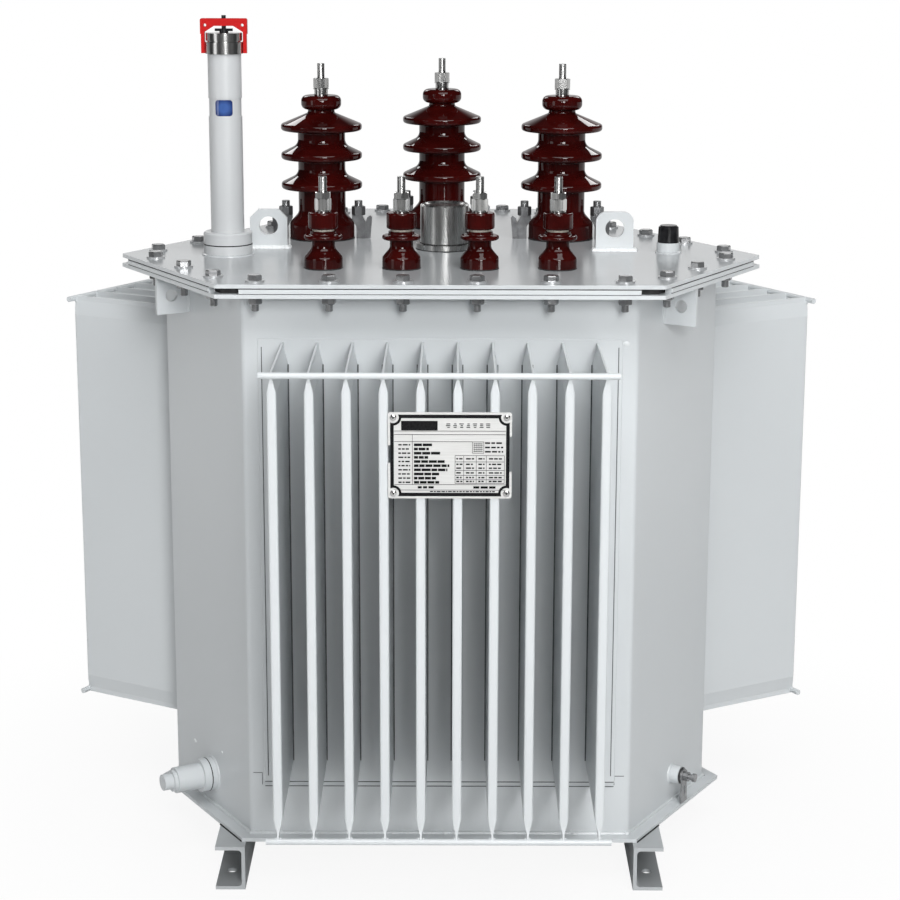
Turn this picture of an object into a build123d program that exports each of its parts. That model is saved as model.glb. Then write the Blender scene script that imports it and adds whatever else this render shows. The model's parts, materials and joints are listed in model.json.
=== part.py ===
from build123d import *
import os
from math import sqrt

# Power transformer with a six-sided tank: three long sides carry corrugated fins,
# three short sides are plain. Origin on the ground under the middle of the tank,
# X to the right, Y to the rear, Z up. Lengths in millimetres, angles in degrees.

ROOT3 = sqrt(3.0)
OVERRUN = 5.0
THIRD_TURN = 120.0
HALF_TURN = 180.0
QUARTER_TURN = 90.0
FULL_TURN = 360.0

# Feet, two channels lying front to rear
FOOT_HEIGHT = 61.0
FOOT_WIDTH = 40.0
FOOT_GAUGE_T = 4.8
FOOT_ROOT_R = 5.0
FOOT_LENGTH = 656.0
FOOT_INSET = 98.5
FOOT_HOLE_SHIFT = 2.5
FOOT_HOLE_INSET = 53.0
FOOT_HOLE_R = 7.0

# Tank
WALL_SHORT = 248.0
WALL_SIDE = 21.0
WALL_T = 4.0
WALL_BEND_R = 8.0
WALL_HEADROOM = 64.0
BASE_T = 5.0
BASE_OVERHANG = 19.0
BASE_HOLE_R = 4.0
BASE_HOLE_INSET = 21.4
RIM_OVERHANG = 50.0
RIM_T = 5.0
GASKET_T = 8.0
GASKET_SETBACK = 12.0
EDGE_BAR_LONG_INSET = 30.4
EDGE_BAR_SHORT_INSET = 20.0
EDGE_BAR_DEPTH = 10.0
EDGE_BAR_HEIGHT = 7.0
EDGE_BAR_CHAMFER = 1.2
COVER_T = 5.0
CORNER_R = 5.0

# Fins
FIN_COUNT = 10
FIN_PITCH = 45.0
FIN_WIDTH = 12.0
FIN_SEAM = 2.4
FIN_DEPTH = 200.0
FIN_HEIGHT = 600.0
FIN_LIFT = 76.0
FIN_TAPER = 27.0
FIN_NOSE_R = 3.5
FIN_SHEET = 1.5
FIN_SEAM_LAND = 7.0
FIN_FLARE = 3.0
FIN_FLARE_RISE = 24.0
PANEL_SIDE = 25.5
PANEL_MARGIN = 3.0
PANEL_T = 2.0
WINDOW_LAP = 12.0
TIE_BAR_R = 4.0
TIE_BAR_SIDE = 15.5
TIE_BAR_REACH = 1.0
TIE_BAR_SEAT = 0.6

# Side lifting brackets under the rim
BRACKET_REACH = 46.0
BRACKET_HEIGHT = 51.0
BRACKET_T = 6.0
BRACKET_OFFSET = 46.0
BRACKET_HOLE_R = 8.5
BRACKET_HOLE_OUT = 25.0
BRACKET_HOLE_DROP = 26.0

# Cover lifting lugs
LUG_WIDTH = 52.0
LUG_HEIGHT = 54.0
LUG_T = 8.0
LUG_HOLE_R = 13.0
LUG_HOLE_Z = 31.0
LUG_CHAMFER = 12.0
LUG_ROUND_R = 14.0
LUG_INSET = 196.7
LUG_LEFT_Y = -15.0
LUG_RIGHT_Y = -36.0

# High-voltage bushings
HV_X = 171.0
HV_Y = 84.0
HV_REAR_INSET = 211.0
HV_BASE_R = 46.0
HV_BASE_EDGE_R = 3.0
HV_BASE_HEIGHT = 23.0
HV_SHOULDER_R = 6.0
HV_TRUNK_R = 33.6
HV_FLARE_HEIGHT = 37.0
HV_FLARE_R = 10.0
HV_SHED_R = 57.5
HV_SHED_Z = (76.0, 118.0, 158.5)
HV_SHED_EDGE = 4.4
HV_SHED_EDGE_R = 3.9
HV_SHED_RISE = 16.0
HV_SHED_DROP = 5.5
HV_SHED_ROOT_R = 12.0
HV_SHED_COVE_R = 3.0
HV_NECK_R = 19.0
HV_NECK_Z = 179.0
HV_NECK_COVE_R = 3.0
HV_CAP_R = 28.4
HV_CAP_Z = 183.5
HV_CAP_HEIGHT = 20.0
HV_CAP_EDGE_R = 8.0
HV_STUD_R = 5.0
HV_STUD_TOP = 248.0
HV_NUT_ACROSS = 19.0
HV_NUT_HEIGHT = 14.0
HV_COLLAR_R = 9.8
HV_COLLAR_HEIGHT = 8.4
HV_WASHER_R = 11.2
HV_WASHER_T = 1.6
NUT_BEVEL = 0.8

# Clamps that hold each high-voltage bushing down
CLAMP_COUNT = 3
CLAMP_WIDTH = 14.0
CLAMP_RIB_WIDTH = 8.0
CLAMP_GAP = 3.0
CLAMP_GRIP_DROP = 1.2
CLAMP_KNEE_Z = 17.0
CLAMP_RIB_X = 62.4
CLAMP_OUT = 69.0
CLAMP_PRONG_OUT = 71.5
CLAMP_PRONG_Z = 30.0
CLAMP_PRONG_TOP = 33.0
CLAMP_PRONG_T = 4.5
CLAMP_NOTCH_Z = 23.0
CLAMP_ARM_TOP = 33.0
CLAMP_STUD_X = 52.0
CLAMP_STUD_R = 5.5
CLAMP_STUD_TOP = 54.0
CLAMP_NUT_ACROSS = 17.0
CLAMP_NUT_HEIGHT = 13.0

# Low-voltage bushings
LV_COUNT = 4
LV_PITCH = 102.6
LV_INSET = 139.4
LV_BASE_R = 25.2
LV_BASE_HEIGHT = 15.0
LV_EDGE_R = 2.0
LV_SHOULDER_BEND_R = 5.0
LV_NECK_R = 15.2
LV_NECK_Z = 27.0
LV_FLARE_R = 9.0
LV_SHED_R = 25.3
LV_SHED_Z = 41.5
LV_SHED_EDGE = 2.9
LV_SHED_EDGE_R = 2.6
LV_COVE_R = 2.0
LV_SHOULDER_R = 17.0
LV_TOP_Z = 49.5
LV_GASKET_R = 14.5
LV_GASKET_T = 3.0
LV_CAP_R = 19.5
LV_CAP_HEIGHT = 21.5
LV_CAP_EDGE_R = 2.5
LV_STUD_R = 5.2
LV_STUD_TOP = 121.0
LV_NUT_ACROSS = 19.0
LV_NUT_HEIGHT = 15.5
LV_LOCK_NUT_HEIGHT = 8.5
LV_COLLAR_R = 10.4
LV_COLLAR_HEIGHT = 2.5

# Oil gauge tube
GAUGE_INSET = 145.7
GAUGE_Y = -78.0
GAUGE_RING_R = 33.2
GAUGE_LOWER_RING_H = 14.0
GAUGE_JOINT_T = 1.6
GAUGE_JOINT_R = 31.5
GAUGE_UPPER_RING_H = 16.0
GAUGE_RING_EDGE = 2.0
GAUGE_TUBE_R = 22.6
GAUGE_BORE_R = 19.0
GAUGE_TUBE_TOP = 271.0
GAUGE_WAIST_LOW = 187.5
GAUGE_WAIST_HIGH = 212.0
GAUGE_WAIST_STEP = 0.9
GAUGE_WINDOW_WIDTH = 23.0
GAUGE_WINDOW_LOW = 189.0
GAUGE_WINDOW_HIGH = 210.5
GAUGE_WINDOW_CORNER_R = 4.0
GAUGE_CAP_R = 25.5
GAUGE_CAP_HEIGHT = 15.5
GAUGE_CAP_GROOVE_R = 22.5
GAUGE_CAP_GROOVE_H = 1.6
GAUGE_LID_R = 24.4
GAUGE_LID_HEIGHT = 10.4
YOKE_HALF_WIDTH = 31.5
YOKE_T = 10.0
YOKE_TOP_Z = 317.4
YOKE_SHOULDER_Z = 297.0
YOKE_ARCH_LOW_Z = 299.4
YOKE_FOOT_Z = 271.5
YOKE_LEG_IN = 25.7
YOKE_LEG_OUT = 30.5
YOKE_ARCH_HALF = 13.0
YOKE_ARCH_TOP_Z = 307.5
YOKE_CORNER_R = 2.5
YOKE_HOLE_R = 2.0
YOKE_HOLE_X = 25.0
YOKE_HOLE_Z = 308.5
SCREW_R = 3.0
SCREW_TOP_Z = 321.5
WING_R = 6.0
WING_REACH = 12.0
WING_LOW_Z = 300.5
WING_T = 3.5
WING_DEPTH = 5.0

# Stainless relief cap in the middle of the cover
RELIEF_X = 5.0
RELIEF_Y = -18.0
RELIEF_RING_R = 40.0
RELIEF_RING_H = 8.0
RELIEF_CAP_R = 33.9
RELIEF_CAP_H = 54.8
RELIEF_EDGE = 2.0
RELIEF_DISH_R = 28.0
RELIEF_DISH_DEPTH = 2.0

# Thermometer pocket
THERMO_INSET = 123.7
THERMO_Y = -54.0
THERMO_BOSS_R = 15.9
THERMO_BOSS_H = 14.5
THERMO_CAP_R = 14.8
THERMO_CAP_TOP_R = 13.8
THERMO_CAP_H = 22.0
THERMO_EDGE = 1.0
THERMO_LIP_R = 11.5
THERMO_LIP_H = 1.5
THERMO_RIB_WIDTH = 3.6
THERMO_RIB_REACH = 15.2

# Drain fitting low on the front-left side, sampling cock low on the front-right side
DRAIN_Z = 110.0
DRAIN_BOSS_R = 23.3
DRAIN_BOSS_T = 9.0
DRAIN_SEAL_R = 21.5
DRAIN_SEAL_T = 1.5
DRAIN_FLANGE_R = 23.3
DRAIN_FLANGE_T = 10.0
DRAIN_BODY_R = 18.0
DRAIN_BODY_T = 37.0
DRAIN_COLLAR_R = 15.0
DRAIN_COLLAR_T = 5.0
DRAIN_NOSE_R = 11.2
DRAIN_NOSE_T = 13.0
COCK_Z = 106.0
COCK_OFFSET = 15.0
COCK_BOSS_R = 12.5
COCK_BOSS_T = 15.0
COCK_SEAL_R = 10.5
COCK_SEAL_T = 3.0
COCK_RING_R = 9.5
COCK_RING_T = 2.5
COCK_BODY_R = 6.5
COCK_BODY_T = 6.5
COCK_NOSE_R = 4.0
COCK_NOSE_T = 6.0
COCK_HEAD_R = 6.0
COCK_HEAD_T = 4.0
COCK_LEVER_LENGTH = 38.0
COCK_LEVER_TOP_WIDTH = 13.0
COCK_LEVER_END_WIDTH = 19.0
COCK_LEVER_T = 2.5
COCK_SLOT_WIDTH = 5.0
COCK_SLOT_NEAR = 14.0
COCK_SLOT_FAR = 30.0

# Rating plate on the fin noses
PLATE_WIDTH = 150.0
PLATE_HEIGHT = 107.0
PLATE_T = 1.5
PLATE_X = 13.0
PLATE_DROP = 102.0
PLATE_CORNER_R = 3.0
PLATE_NOTCH_DEPTH = 2.8
PLATE_NOTCH_RISE = 1.7
PLATE_LEFT_NOTCH = 22.0
PLATE_RIGHT_NOTCH = 44.0

FIN_SPAN = FIN_PITCH * (FIN_COUNT - 1)
PANEL_WIDTH = FIN_SPAN + FIN_WIDTH + PANEL_SIDE * 2
TIE_BAR_LENGTH = FIN_SPAN + TIE_BAR_SIDE * 2
WALL_LONG = PANEL_WIDTH + WALL_SIDE * 2
WALL_HEIGHT = FIN_LIFT + FIN_HEIGHT + WALL_HEADROOM
BASE_TOP = FOOT_HEIGHT + BASE_T
RIM_LOW = BASE_TOP + WALL_HEIGHT
RIM_TOP = RIM_LOW + RIM_T
COVER_LOW = RIM_TOP + GASKET_T
COVER_TOP = COVER_LOW + COVER_T
LONG_APOTHEM = (WALL_LONG + WALL_SHORT * 2) / (ROOT3 * 2)
SHORT_APOTHEM = (WALL_SHORT + WALL_LONG * 2) / (ROOT3 * 2)
FIN_LOW = BASE_TOP + FIN_LIFT
FIN_TOP = FIN_LOW + FIN_HEIGHT
NOSE_Y = -LONG_APOTHEM - FIN_DEPTH
TANK_TIP_X = (WALL_LONG + WALL_SHORT) / 2
TANK_TIP_Y = WALL_SHORT * ROOT3 / 2 - LONG_APOTHEM
COVER_TIP_X = TANK_TIP_X + RIM_OVERHANG * 2 / ROOT3
COVER_FRONT_Y = -LONG_APOTHEM - RIM_OVERHANG
COVER_REAR_Y = SHORT_APOTHEM + RIM_OVERHANG
FOOT_MIDDLE_X = TANK_TIP_X - FOOT_INSET
LV_Y = COVER_FRONT_Y + LV_INSET
HV_REAR_Y = COVER_REAR_Y - HV_REAR_INSET


def hexagon(grow):
    """Corner points of the tank outline, moved outward by grow."""
    long_side = WALL_LONG + grow * 2 / ROOT3
    short_side = WALL_SHORT + grow * 2 / ROOT3
    front = -LONG_APOTHEM - grow
    rear = SHORT_APOTHEM + grow
    tip_x = (long_side + short_side) / 2
    tip_y = front + short_side * ROOT3 / 2
    right = [(long_side / 2, front), (tip_x, tip_y), (short_side / 2, rear)]
    left = [(-x, y) for x, y in reversed(right)]
    return right + left


def slab(points, low, height):
    """Flat piece with the given outline, standing from low upward."""
    face = make_face(Polyline(*points, close=True))
    return Pos(0, 0, low) * extrude(face, amount=height)


def post(radius, x, y, low, height):
    """Upright cylinder."""
    return Pos(x, y, low + height / 2) * Cylinder(radius, height)


def block(x_low, x_high, y_low, y_high, z_low, z_high):
    """Box between two corners."""
    middle = Pos((x_low + x_high) / 2, (y_low + y_high) / 2, (z_low + z_high) / 2)
    return middle * Box(x_high - x_low, y_high - y_low, z_high - z_low)


def turned(points):
    """Solid of revolution about Z from a closed outline of (radius, height)."""
    outline = Polyline(*[(r, 0, z) for r, z in points], close=True)
    return revolve(make_face(outline), axis=Axis.Z, revolution_arc=FULL_TURN)


def soft_turned(points, bends):
    """Solid of revolution whose outline is rounded at some points; bends holds (point, radius)."""
    outline = make_face(Polyline(*[(r, 0, z) for r, z in points], close=True))
    for (r, z), radius in bends:
        corner = outline.vertices().sort_by_distance((r, 0, z))[0]
        outline = fillet(corner, radius)
    return revolve(outline, axis=Axis.Z, revolution_arc=FULL_TURN)


def hex_nut(across, x, y, low, height):
    """Hexagonal nut standing upright, its corners turned down at both ends."""
    nut = extrude(RegularPolygon(across / ROOT3, 6), amount=height)
    half = across / 2
    corner = half + NUT_BEVEL * ROOT3
    turned_blank = turned([(0, 0), (half, 0), (corner, NUT_BEVEL), (corner, height - NUT_BEVEL),
                           (half, height), (0, height)])
    return Pos(x, y, low) * (nut & turned_blank)


def side_plate(points, y_low, depth):
    """Plate with an (x, z) outline, from y_low toward the rear."""
    outline = make_face(Polyline(*[(x, 0, z) for x, z in points], close=True))
    return Pos(0, y_low, 0) * extrude(outline, amount=depth, dir=(0, 1, 0))


# Feet and tank

def foot(side):
    """Channel with its web toward the middle, drilled twice through the lower flange."""
    clear = Rectangle(FOOT_WIDTH, FOOT_HEIGHT - FOOT_GAUGE_T * 2)
    clear = fillet(clear.vertices().sort_by(Axis.X)[:2], FOOT_ROOT_R)
    section = Rectangle(FOOT_WIDTH, FOOT_HEIGHT) - Pos(FOOT_GAUGE_T, 0) * clear
    bar = extrude(Plane.XZ * section, amount=FOOT_LENGTH / 2, both=True)
    bar = Pos(FOOT_MIDDLE_X, 0, FOOT_HEIGHT / 2) * bar
    hole_x = FOOT_MIDDLE_X + FOOT_HOLE_SHIFT
    hole_y = FOOT_LENGTH / 2 - FOOT_HOLE_INSET
    for y in (-hole_y, hole_y):
        bar -= post(FOOT_HOLE_R, hole_x, y, -OVERRUN, FOOT_GAUGE_T + OVERRUN * 2)
    if side < 0:
        bar = mirror(bar, about=Plane.YZ)
    return bar


def long_side_window():
    """Opening in the front wall behind the fin panel."""
    half = PANEL_WIDTH / 2 - WINDOW_LAP
    low = FIN_LOW + WINDOW_LAP
    high = FIN_TOP - WINDOW_LAP
    y_high = -LONG_APOTHEM + WALL_T + OVERRUN
    return block(-half, half, -LONG_APOTHEM - OVERRUN, y_high, low, high)


def tank_shell():
    """Six-sided wall folded from sheet, with an opening behind each fin panel."""
    wall = rounded_hex(0, BASE_TOP, WALL_HEIGHT, WALL_BEND_R)
    wall -= rounded_hex(-WALL_T, BASE_TOP - OVERRUN, WALL_HEIGHT + OVERRUN * 2, WALL_BEND_R - WALL_T)
    for turn in range(3):
        wall -= Rot(0, 0, THIRD_TURN * turn) * long_side_window()
    return wall


def base_plate():
    """Bottom of the tank, standing out all round, with a small hole at its right tip."""
    plate = slab(hexagon(BASE_OVERHANG), FOOT_HEIGHT, BASE_T)
    tip_x = TANK_TIP_X + BASE_OVERHANG * 2 / ROOT3
    return plate - post(BASE_HOLE_R, tip_x - BASE_HOLE_INSET, TANK_TIP_Y, FOOT_HEIGHT - OVERRUN,
                        BASE_T + OVERRUN * 2)


def ring_plate(outer, inner, low, height):
    """Six-sided frame between two outlines."""
    frame = slab(hexagon(outer), low, height)
    return frame - slab(hexagon(inner), low - OVERRUN, height + OVERRUN * 2)


def rounded_hex(grow, low, height, radius):
    """Six-sided plate with softened corners."""
    plate = slab(hexagon(grow), low, height)
    return fillet(plate.edges().filter_by(Axis.Z), radius)


def edge_bars():
    """Bars that fill the joint under the cover, one along each side, their outer edges broken."""
    corner = RIM_OVERHANG / ROOT3
    long_half = WALL_LONG / 2 + corner - EDGE_BAR_LONG_INSET
    short_half = WALL_SHORT / 2 + corner - EDGE_BAR_SHORT_INSET
    top = RIM_TOP + EDGE_BAR_HEIGHT
    front = block(-long_half, long_half, COVER_FRONT_Y, COVER_FRONT_Y + EDGE_BAR_DEPTH, RIM_TOP, top)
    front = chamfer(front.edges().filter_by(Axis.X).group_by(Axis.Y)[0], EDGE_BAR_CHAMFER)
    rear = block(-short_half, short_half, COVER_REAR_Y - EDGE_BAR_DEPTH, COVER_REAR_Y, RIM_TOP, top)
    rear = chamfer(rear.edges().filter_by(Axis.X).group_by(Axis.Y)[-1], EDGE_BAR_CHAMFER)
    return group([Rot(0, 0, THIRD_TURN * turn) * bar for turn in range(3) for bar in (front, rear)])


# Fins

def fin_profile(half, end_half, low, high):
    """Front outline of a fin, pinched flat at both ends."""
    right = [(end_half, low), (end_half, low + FIN_SEAM_LAND), (half, low + FIN_TAPER)]
    right += [(half, high - FIN_TAPER), (end_half, high - FIN_SEAM_LAND), (end_half, high)]
    left = [(-x, z) for x, z in reversed(right)]
    return right + left


def fin(under):
    """One hollow flattened fin on the front side, open toward the tank."""
    half = FIN_WIDTH / 2
    plan = Rectangle(FIN_WIDTH, FIN_DEPTH)
    plan = fillet(plan.vertices().sort_by(Axis.Y)[:2], FIN_NOSE_R)
    body = Pos(0, -LONG_APOTHEM - FIN_DEPTH / 2, FIN_LOW) * extrude(plan, amount=FIN_HEIGHT)
    outline = fin_profile(half, FIN_SEAM / 2, FIN_LOW, FIN_TOP)
    body &= side_plate(outline, NOSE_Y - OVERRUN, FIN_DEPTH + OVERRUN * 2)
    low_flat = FIN_LOW if under else FIN_LOW + TIE_BAR_R
    for flat, tail in ((low_flat, FIN_LOW + FIN_FLARE_RISE), (FIN_TOP - TIE_BAR_R, FIN_TOP - FIN_FLARE_RISE)):
        corner = [(NOSE_Y + FIN_FLARE, flat), (NOSE_Y - FIN_FLARE, flat), (NOSE_Y + FIN_FLARE, tail)]
        face = make_face(Polyline(*[(0, y, z) for y, z in corner], close=True))
        body += extrude(face, amount=FIN_SEAM / 2, both=True, dir=(1, 0, 0))
    inner = half - FIN_SHEET
    low = FIN_LOW + FIN_SEAM_LAND
    high = FIN_TOP - FIN_SEAM_LAND
    hollow = [(0, low), (inner, FIN_LOW + FIN_TAPER), (inner, FIN_TOP - FIN_TAPER), (0, high)]
    hollow += [(-inner, FIN_TOP - FIN_TAPER), (-inner, FIN_LOW + FIN_TAPER)]
    depth = FIN_DEPTH - FIN_SHEET + OVERRUN
    return body, side_plate(hollow, NOSE_Y + FIN_SHEET, depth)


def fin_bank(under):
    """Front panel with its row of fins, notched for the two tie bars."""
    half = PANEL_WIDTH / 2
    bank = block(-half, half, -LONG_APOTHEM - PANEL_T, -LONG_APOTHEM,
                 FIN_LOW - PANEL_MARGIN, FIN_TOP + PANEL_MARGIN)
    body, hollow = fin(under)
    places = [FIN_PITCH * (index - (FIN_COUNT - 1) / 2) for index in range(FIN_COUNT)]
    bank += [Pos(x, 0, 0) * body for x in places]
    bank -= [Pos(x, 0, 0) * hollow for x in places]
    return bank - tie_bar_pair(under)


def tie_bar_pair(under):
    """Round bars across the top and bottom corners of the front fins, the low one let in or under them."""
    bar = Rot(0, QUARTER_TURN, 0) * Cylinder(TIE_BAR_R, TIE_BAR_LENGTH)
    y = NOSE_Y - TIE_BAR_REACH
    low = FIN_LOW + TIE_BAR_SEAT - TIE_BAR_R if under else FIN_LOW + TIE_BAR_R
    return [Pos(0, y, low) * bar, Pos(0, y, FIN_TOP - TIE_BAR_R) * bar]


# Lifting points

def side_bracket():
    """Plate standing out of the rear short side, under the rim."""
    x = BRACKET_OFFSET
    plate = block(x - BRACKET_T / 2, x + BRACKET_T / 2, SHORT_APOTHEM,
                  SHORT_APOTHEM + BRACKET_REACH, RIM_LOW - BRACKET_HEIGHT, RIM_LOW)
    hole = Rot(0, QUARTER_TURN, 0) * Cylinder(BRACKET_HOLE_R, BRACKET_T + OVERRUN * 2)
    return plate - Pos(x, SHORT_APOTHEM + BRACKET_HOLE_OUT, RIM_LOW - BRACKET_HOLE_DROP) * hole


def cover_lug(x, y, rounded):
    """Upright eye plate on the cover, facing the front."""
    plate = block(-LUG_WIDTH / 2, LUG_WIDTH / 2, -LUG_T / 2, LUG_T / 2, 0, LUG_HEIGHT)
    corners = plate.edges().filter_by(Axis.Y).group_by(Axis.Z)[-1]
    if rounded:
        plate = fillet(corners, LUG_ROUND_R)
    else:
        plate = chamfer(corners, LUG_CHAMFER)
    hole = Rot(QUARTER_TURN, 0, 0) * Cylinder(LUG_HOLE_R, LUG_T + OVERRUN * 2)
    plate -= Pos(0, 0, LUG_HOLE_Z) * hole
    return Pos(x, y, COVER_TOP) * plate


# High-voltage bushings

def hv_places():
    """Middles of the three bushings, left to right."""
    return ((-HV_X, HV_Y), (0, HV_REAR_Y), (HV_X, HV_Y))


def hv_bushing(x, y):
    """Glazed insulator: bell foot, trunk, three sheds and a round head."""
    foot_edge = (HV_BASE_R, 0)
    shoulder = (HV_BASE_R, HV_BASE_HEIGHT)
    waist = (HV_TRUNK_R, HV_FLARE_HEIGHT)
    cone = [(0, 0), foot_edge, shoulder, waist]
    bends = [(foot_edge, HV_BASE_EDGE_R), (shoulder, HV_SHOULDER_R), (waist, HV_FLARE_R)]
    for z in HV_SHED_Z:
        cove = (HV_TRUNK_R, z - HV_SHED_DROP)
        edge_low = (HV_SHED_R, z - HV_SHED_EDGE)
        edge_high = (HV_SHED_R, z + HV_SHED_EDGE)
        cone += [cove, edge_low, edge_high]
        bends += [(cove, HV_SHED_COVE_R), (edge_low, HV_SHED_EDGE_R), (edge_high, HV_SHED_EDGE_R)]
        if z < HV_SHED_Z[-1]:
            root = (HV_TRUNK_R, z + HV_SHED_RISE)
            cone += [root]
            bends += [(root, HV_SHED_ROOT_R)]
    neck = (HV_NECK_R, HV_NECK_Z)
    head_top = HV_CAP_Z + HV_CAP_HEIGHT
    head_low_edge = (HV_CAP_R, HV_CAP_Z)
    head_high_edge = (HV_CAP_R, head_top)
    cone += [neck, (HV_NECK_R, HV_CAP_Z), head_low_edge, head_high_edge, (0, head_top)]
    bends += [(neck, HV_NECK_COVE_R), (head_low_edge, HV_CAP_EDGE_R), (head_high_edge, HV_CAP_EDGE_R)]
    return Pos(x, y, COVER_TOP) * soft_turned(cone, bends)


def hv_terminal(x, y):
    """Stud with a collar, a washer and a nut on the head of a bushing."""
    low = COVER_TOP + HV_CAP_Z + HV_CAP_HEIGHT
    washer_low = low + HV_COLLAR_HEIGHT
    nut_low = washer_low + HV_WASHER_T
    part = post(HV_STUD_R, x, y, low, COVER_TOP + HV_STUD_TOP - low)
    part += post(HV_COLLAR_R, x, y, low, HV_COLLAR_HEIGHT)
    part += post(HV_WASHER_R, x, y, washer_low, HV_WASHER_T)
    return part + hex_nut(HV_NUT_ACROSS, x, y, nut_low, HV_NUT_HEIGHT)


def clamp():
    """Cast clamp with its stud and nut, on the right of a bushing at the origin."""
    slope = (HV_BASE_R - HV_TRUNK_R) / (HV_FLARE_HEIGHT - HV_BASE_HEIGHT)
    grip_z = (CLAMP_ARM_TOP + HV_BASE_HEIGHT) / 2
    grip_x = HV_BASE_R - (grip_z - HV_BASE_HEIGHT) * slope + CLAMP_GRIP_DROP
    inner = HV_BASE_R + CLAMP_GAP
    arm = [(inner, 0), (CLAMP_RIB_X, 0), (CLAMP_RIB_X, CLAMP_NOTCH_Z)]
    arm += [(CLAMP_STUD_X + CLAMP_STUD_R, CLAMP_ARM_TOP), (grip_x, CLAMP_ARM_TOP), (grip_x, grip_z)]
    arm += [(HV_BASE_R, HV_BASE_HEIGHT), (inner, CLAMP_KNEE_Z)]
    rib = [(CLAMP_RIB_X, 0), (CLAMP_OUT, 0), (CLAMP_PRONG_OUT, CLAMP_PRONG_Z), (CLAMP_OUT, CLAMP_PRONG_TOP)]
    rib += [(CLAMP_OUT - CLAMP_PRONG_T, CLAMP_PRONG_Z), (CLAMP_RIB_X, CLAMP_NOTCH_Z)]
    body = side_plate(arm, -CLAMP_WIDTH / 2, CLAMP_WIDTH)
    body += side_plate(rib, -CLAMP_RIB_WIDTH / 2, CLAMP_RIB_WIDTH)
    body += post(CLAMP_STUD_R, CLAMP_STUD_X, 0, CLAMP_ARM_TOP, CLAMP_STUD_TOP - CLAMP_ARM_TOP)
    return body + hex_nut(CLAMP_NUT_ACROSS, CLAMP_STUD_X, 0, CLAMP_ARM_TOP, CLAMP_NUT_HEIGHT)


def hv_clamp_set(x, y):
    """Clamps right, behind and left of one bushing."""
    one = clamp()
    turns = [QUARTER_TURN * index for index in range(CLAMP_COUNT)]
    return [Pos(x, y, COVER_TOP) * Rot(0, 0, turn) * one for turn in turns]


# Low-voltage bushings

def lv_places():
    return [LV_PITCH * (index - (LV_COUNT - 1) / 2) for index in range(LV_COUNT)]


def lv_bushing(x):
    """Small insulator: bell foot, waist and one shed."""
    foot_edge = (LV_BASE_R, 0)
    shoulder = (LV_BASE_R, LV_BASE_HEIGHT)
    waist = (LV_NECK_R, LV_NECK_Z)
    cove = (LV_NECK_R, LV_SHED_Z - LV_SHED_EDGE - LV_COVE_R / 2)
    edge_low = (LV_SHED_R, LV_SHED_Z - LV_SHED_EDGE)
    edge_high = (LV_SHED_R, LV_SHED_Z + LV_SHED_EDGE)
    collar = (LV_SHOULDER_R, LV_SHED_Z + LV_SHED_EDGE)
    outline = [(0, 0), foot_edge, shoulder, waist, cove, edge_low, edge_high, collar]
    outline += [(LV_SHOULDER_R, LV_TOP_Z), (0, LV_TOP_Z)]
    bends = [(foot_edge, LV_EDGE_R), (shoulder, LV_SHOULDER_BEND_R), (waist, LV_FLARE_R)]
    bends += [(edge_low, LV_SHED_EDGE_R), (edge_high, LV_SHED_EDGE_R), (collar, LV_COVE_R)]
    return Pos(x, LV_Y, COVER_TOP) * soft_turned(outline, bends)


def lv_gasket(x):
    return post(LV_GASKET_R, x, LV_Y, COVER_TOP + LV_TOP_Z, LV_GASKET_T)


def lv_cap(x):
    """Round insulating head above the gasket."""
    low = LV_TOP_Z + LV_GASKET_T
    high = low + LV_CAP_HEIGHT
    corners = [(LV_CAP_R, low), (LV_CAP_R, high)]
    outline = [(0, low)] + corners + [(0, high)]
    bends = [(corner, LV_CAP_EDGE_R) for corner in corners]
    return Pos(x, LV_Y, COVER_TOP) * soft_turned(outline, bends)


def lv_terminal(x):
    """Stud with collar, nut and lock nut."""
    low = COVER_TOP + LV_TOP_Z + LV_GASKET_T + LV_CAP_HEIGHT
    part = post(LV_STUD_R, x, LV_Y, low, COVER_TOP + LV_STUD_TOP - low)
    part += post(LV_COLLAR_R, x, LV_Y, low, LV_COLLAR_HEIGHT)
    part += hex_nut(LV_NUT_ACROSS, x, LV_Y, low + LV_COLLAR_HEIGHT, LV_NUT_HEIGHT)
    lock = Rot(0, 0, QUARTER_TURN / 3) * hex_nut(LV_NUT_ACROSS, 0, 0, 0, LV_LOCK_NUT_HEIGHT)
    return part + Pos(x, LV_Y, low + LV_COLLAR_HEIGHT + LV_NUT_HEIGHT) * lock


# Oil gauge

def at_gauge(shape):
    return Pos(GAUGE_INSET - COVER_TIP_X, GAUGE_Y, COVER_TOP) * shape


def gauge_base():
    """Two flanged rings with a narrow joint between them."""
    joint = GAUGE_LOWER_RING_H
    upper = joint + GAUGE_JOINT_T
    top = upper + GAUGE_UPPER_RING_H
    edge = GAUGE_RING_EDGE
    outline = [(0, 0), (GAUGE_RING_R, 0), (GAUGE_RING_R, joint), (GAUGE_JOINT_R, joint)]
    outline += [(GAUGE_JOINT_R, upper), (GAUGE_RING_R, upper), (GAUGE_RING_R, top - edge)]
    outline += [(GAUGE_RING_R - edge, top), (0, top)]
    return at_gauge(turned(outline))


def gauge_base_top():
    return GAUGE_LOWER_RING_H + GAUGE_JOINT_T + GAUGE_UPPER_RING_H


def window_blank():
    """Rounded block that cuts the sight window through the front of the tube."""
    height = GAUGE_WINDOW_HIGH - GAUGE_WINDOW_LOW
    face = RectangleRounded(GAUGE_WINDOW_WIDTH, height, GAUGE_WINDOW_CORNER_R)
    middle = (GAUGE_WINDOW_HIGH + GAUGE_WINDOW_LOW) / 2
    return Pos(0, 0, middle) * extrude(Plane.XZ * face, amount=GAUGE_TUBE_R + OVERRUN)


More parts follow.
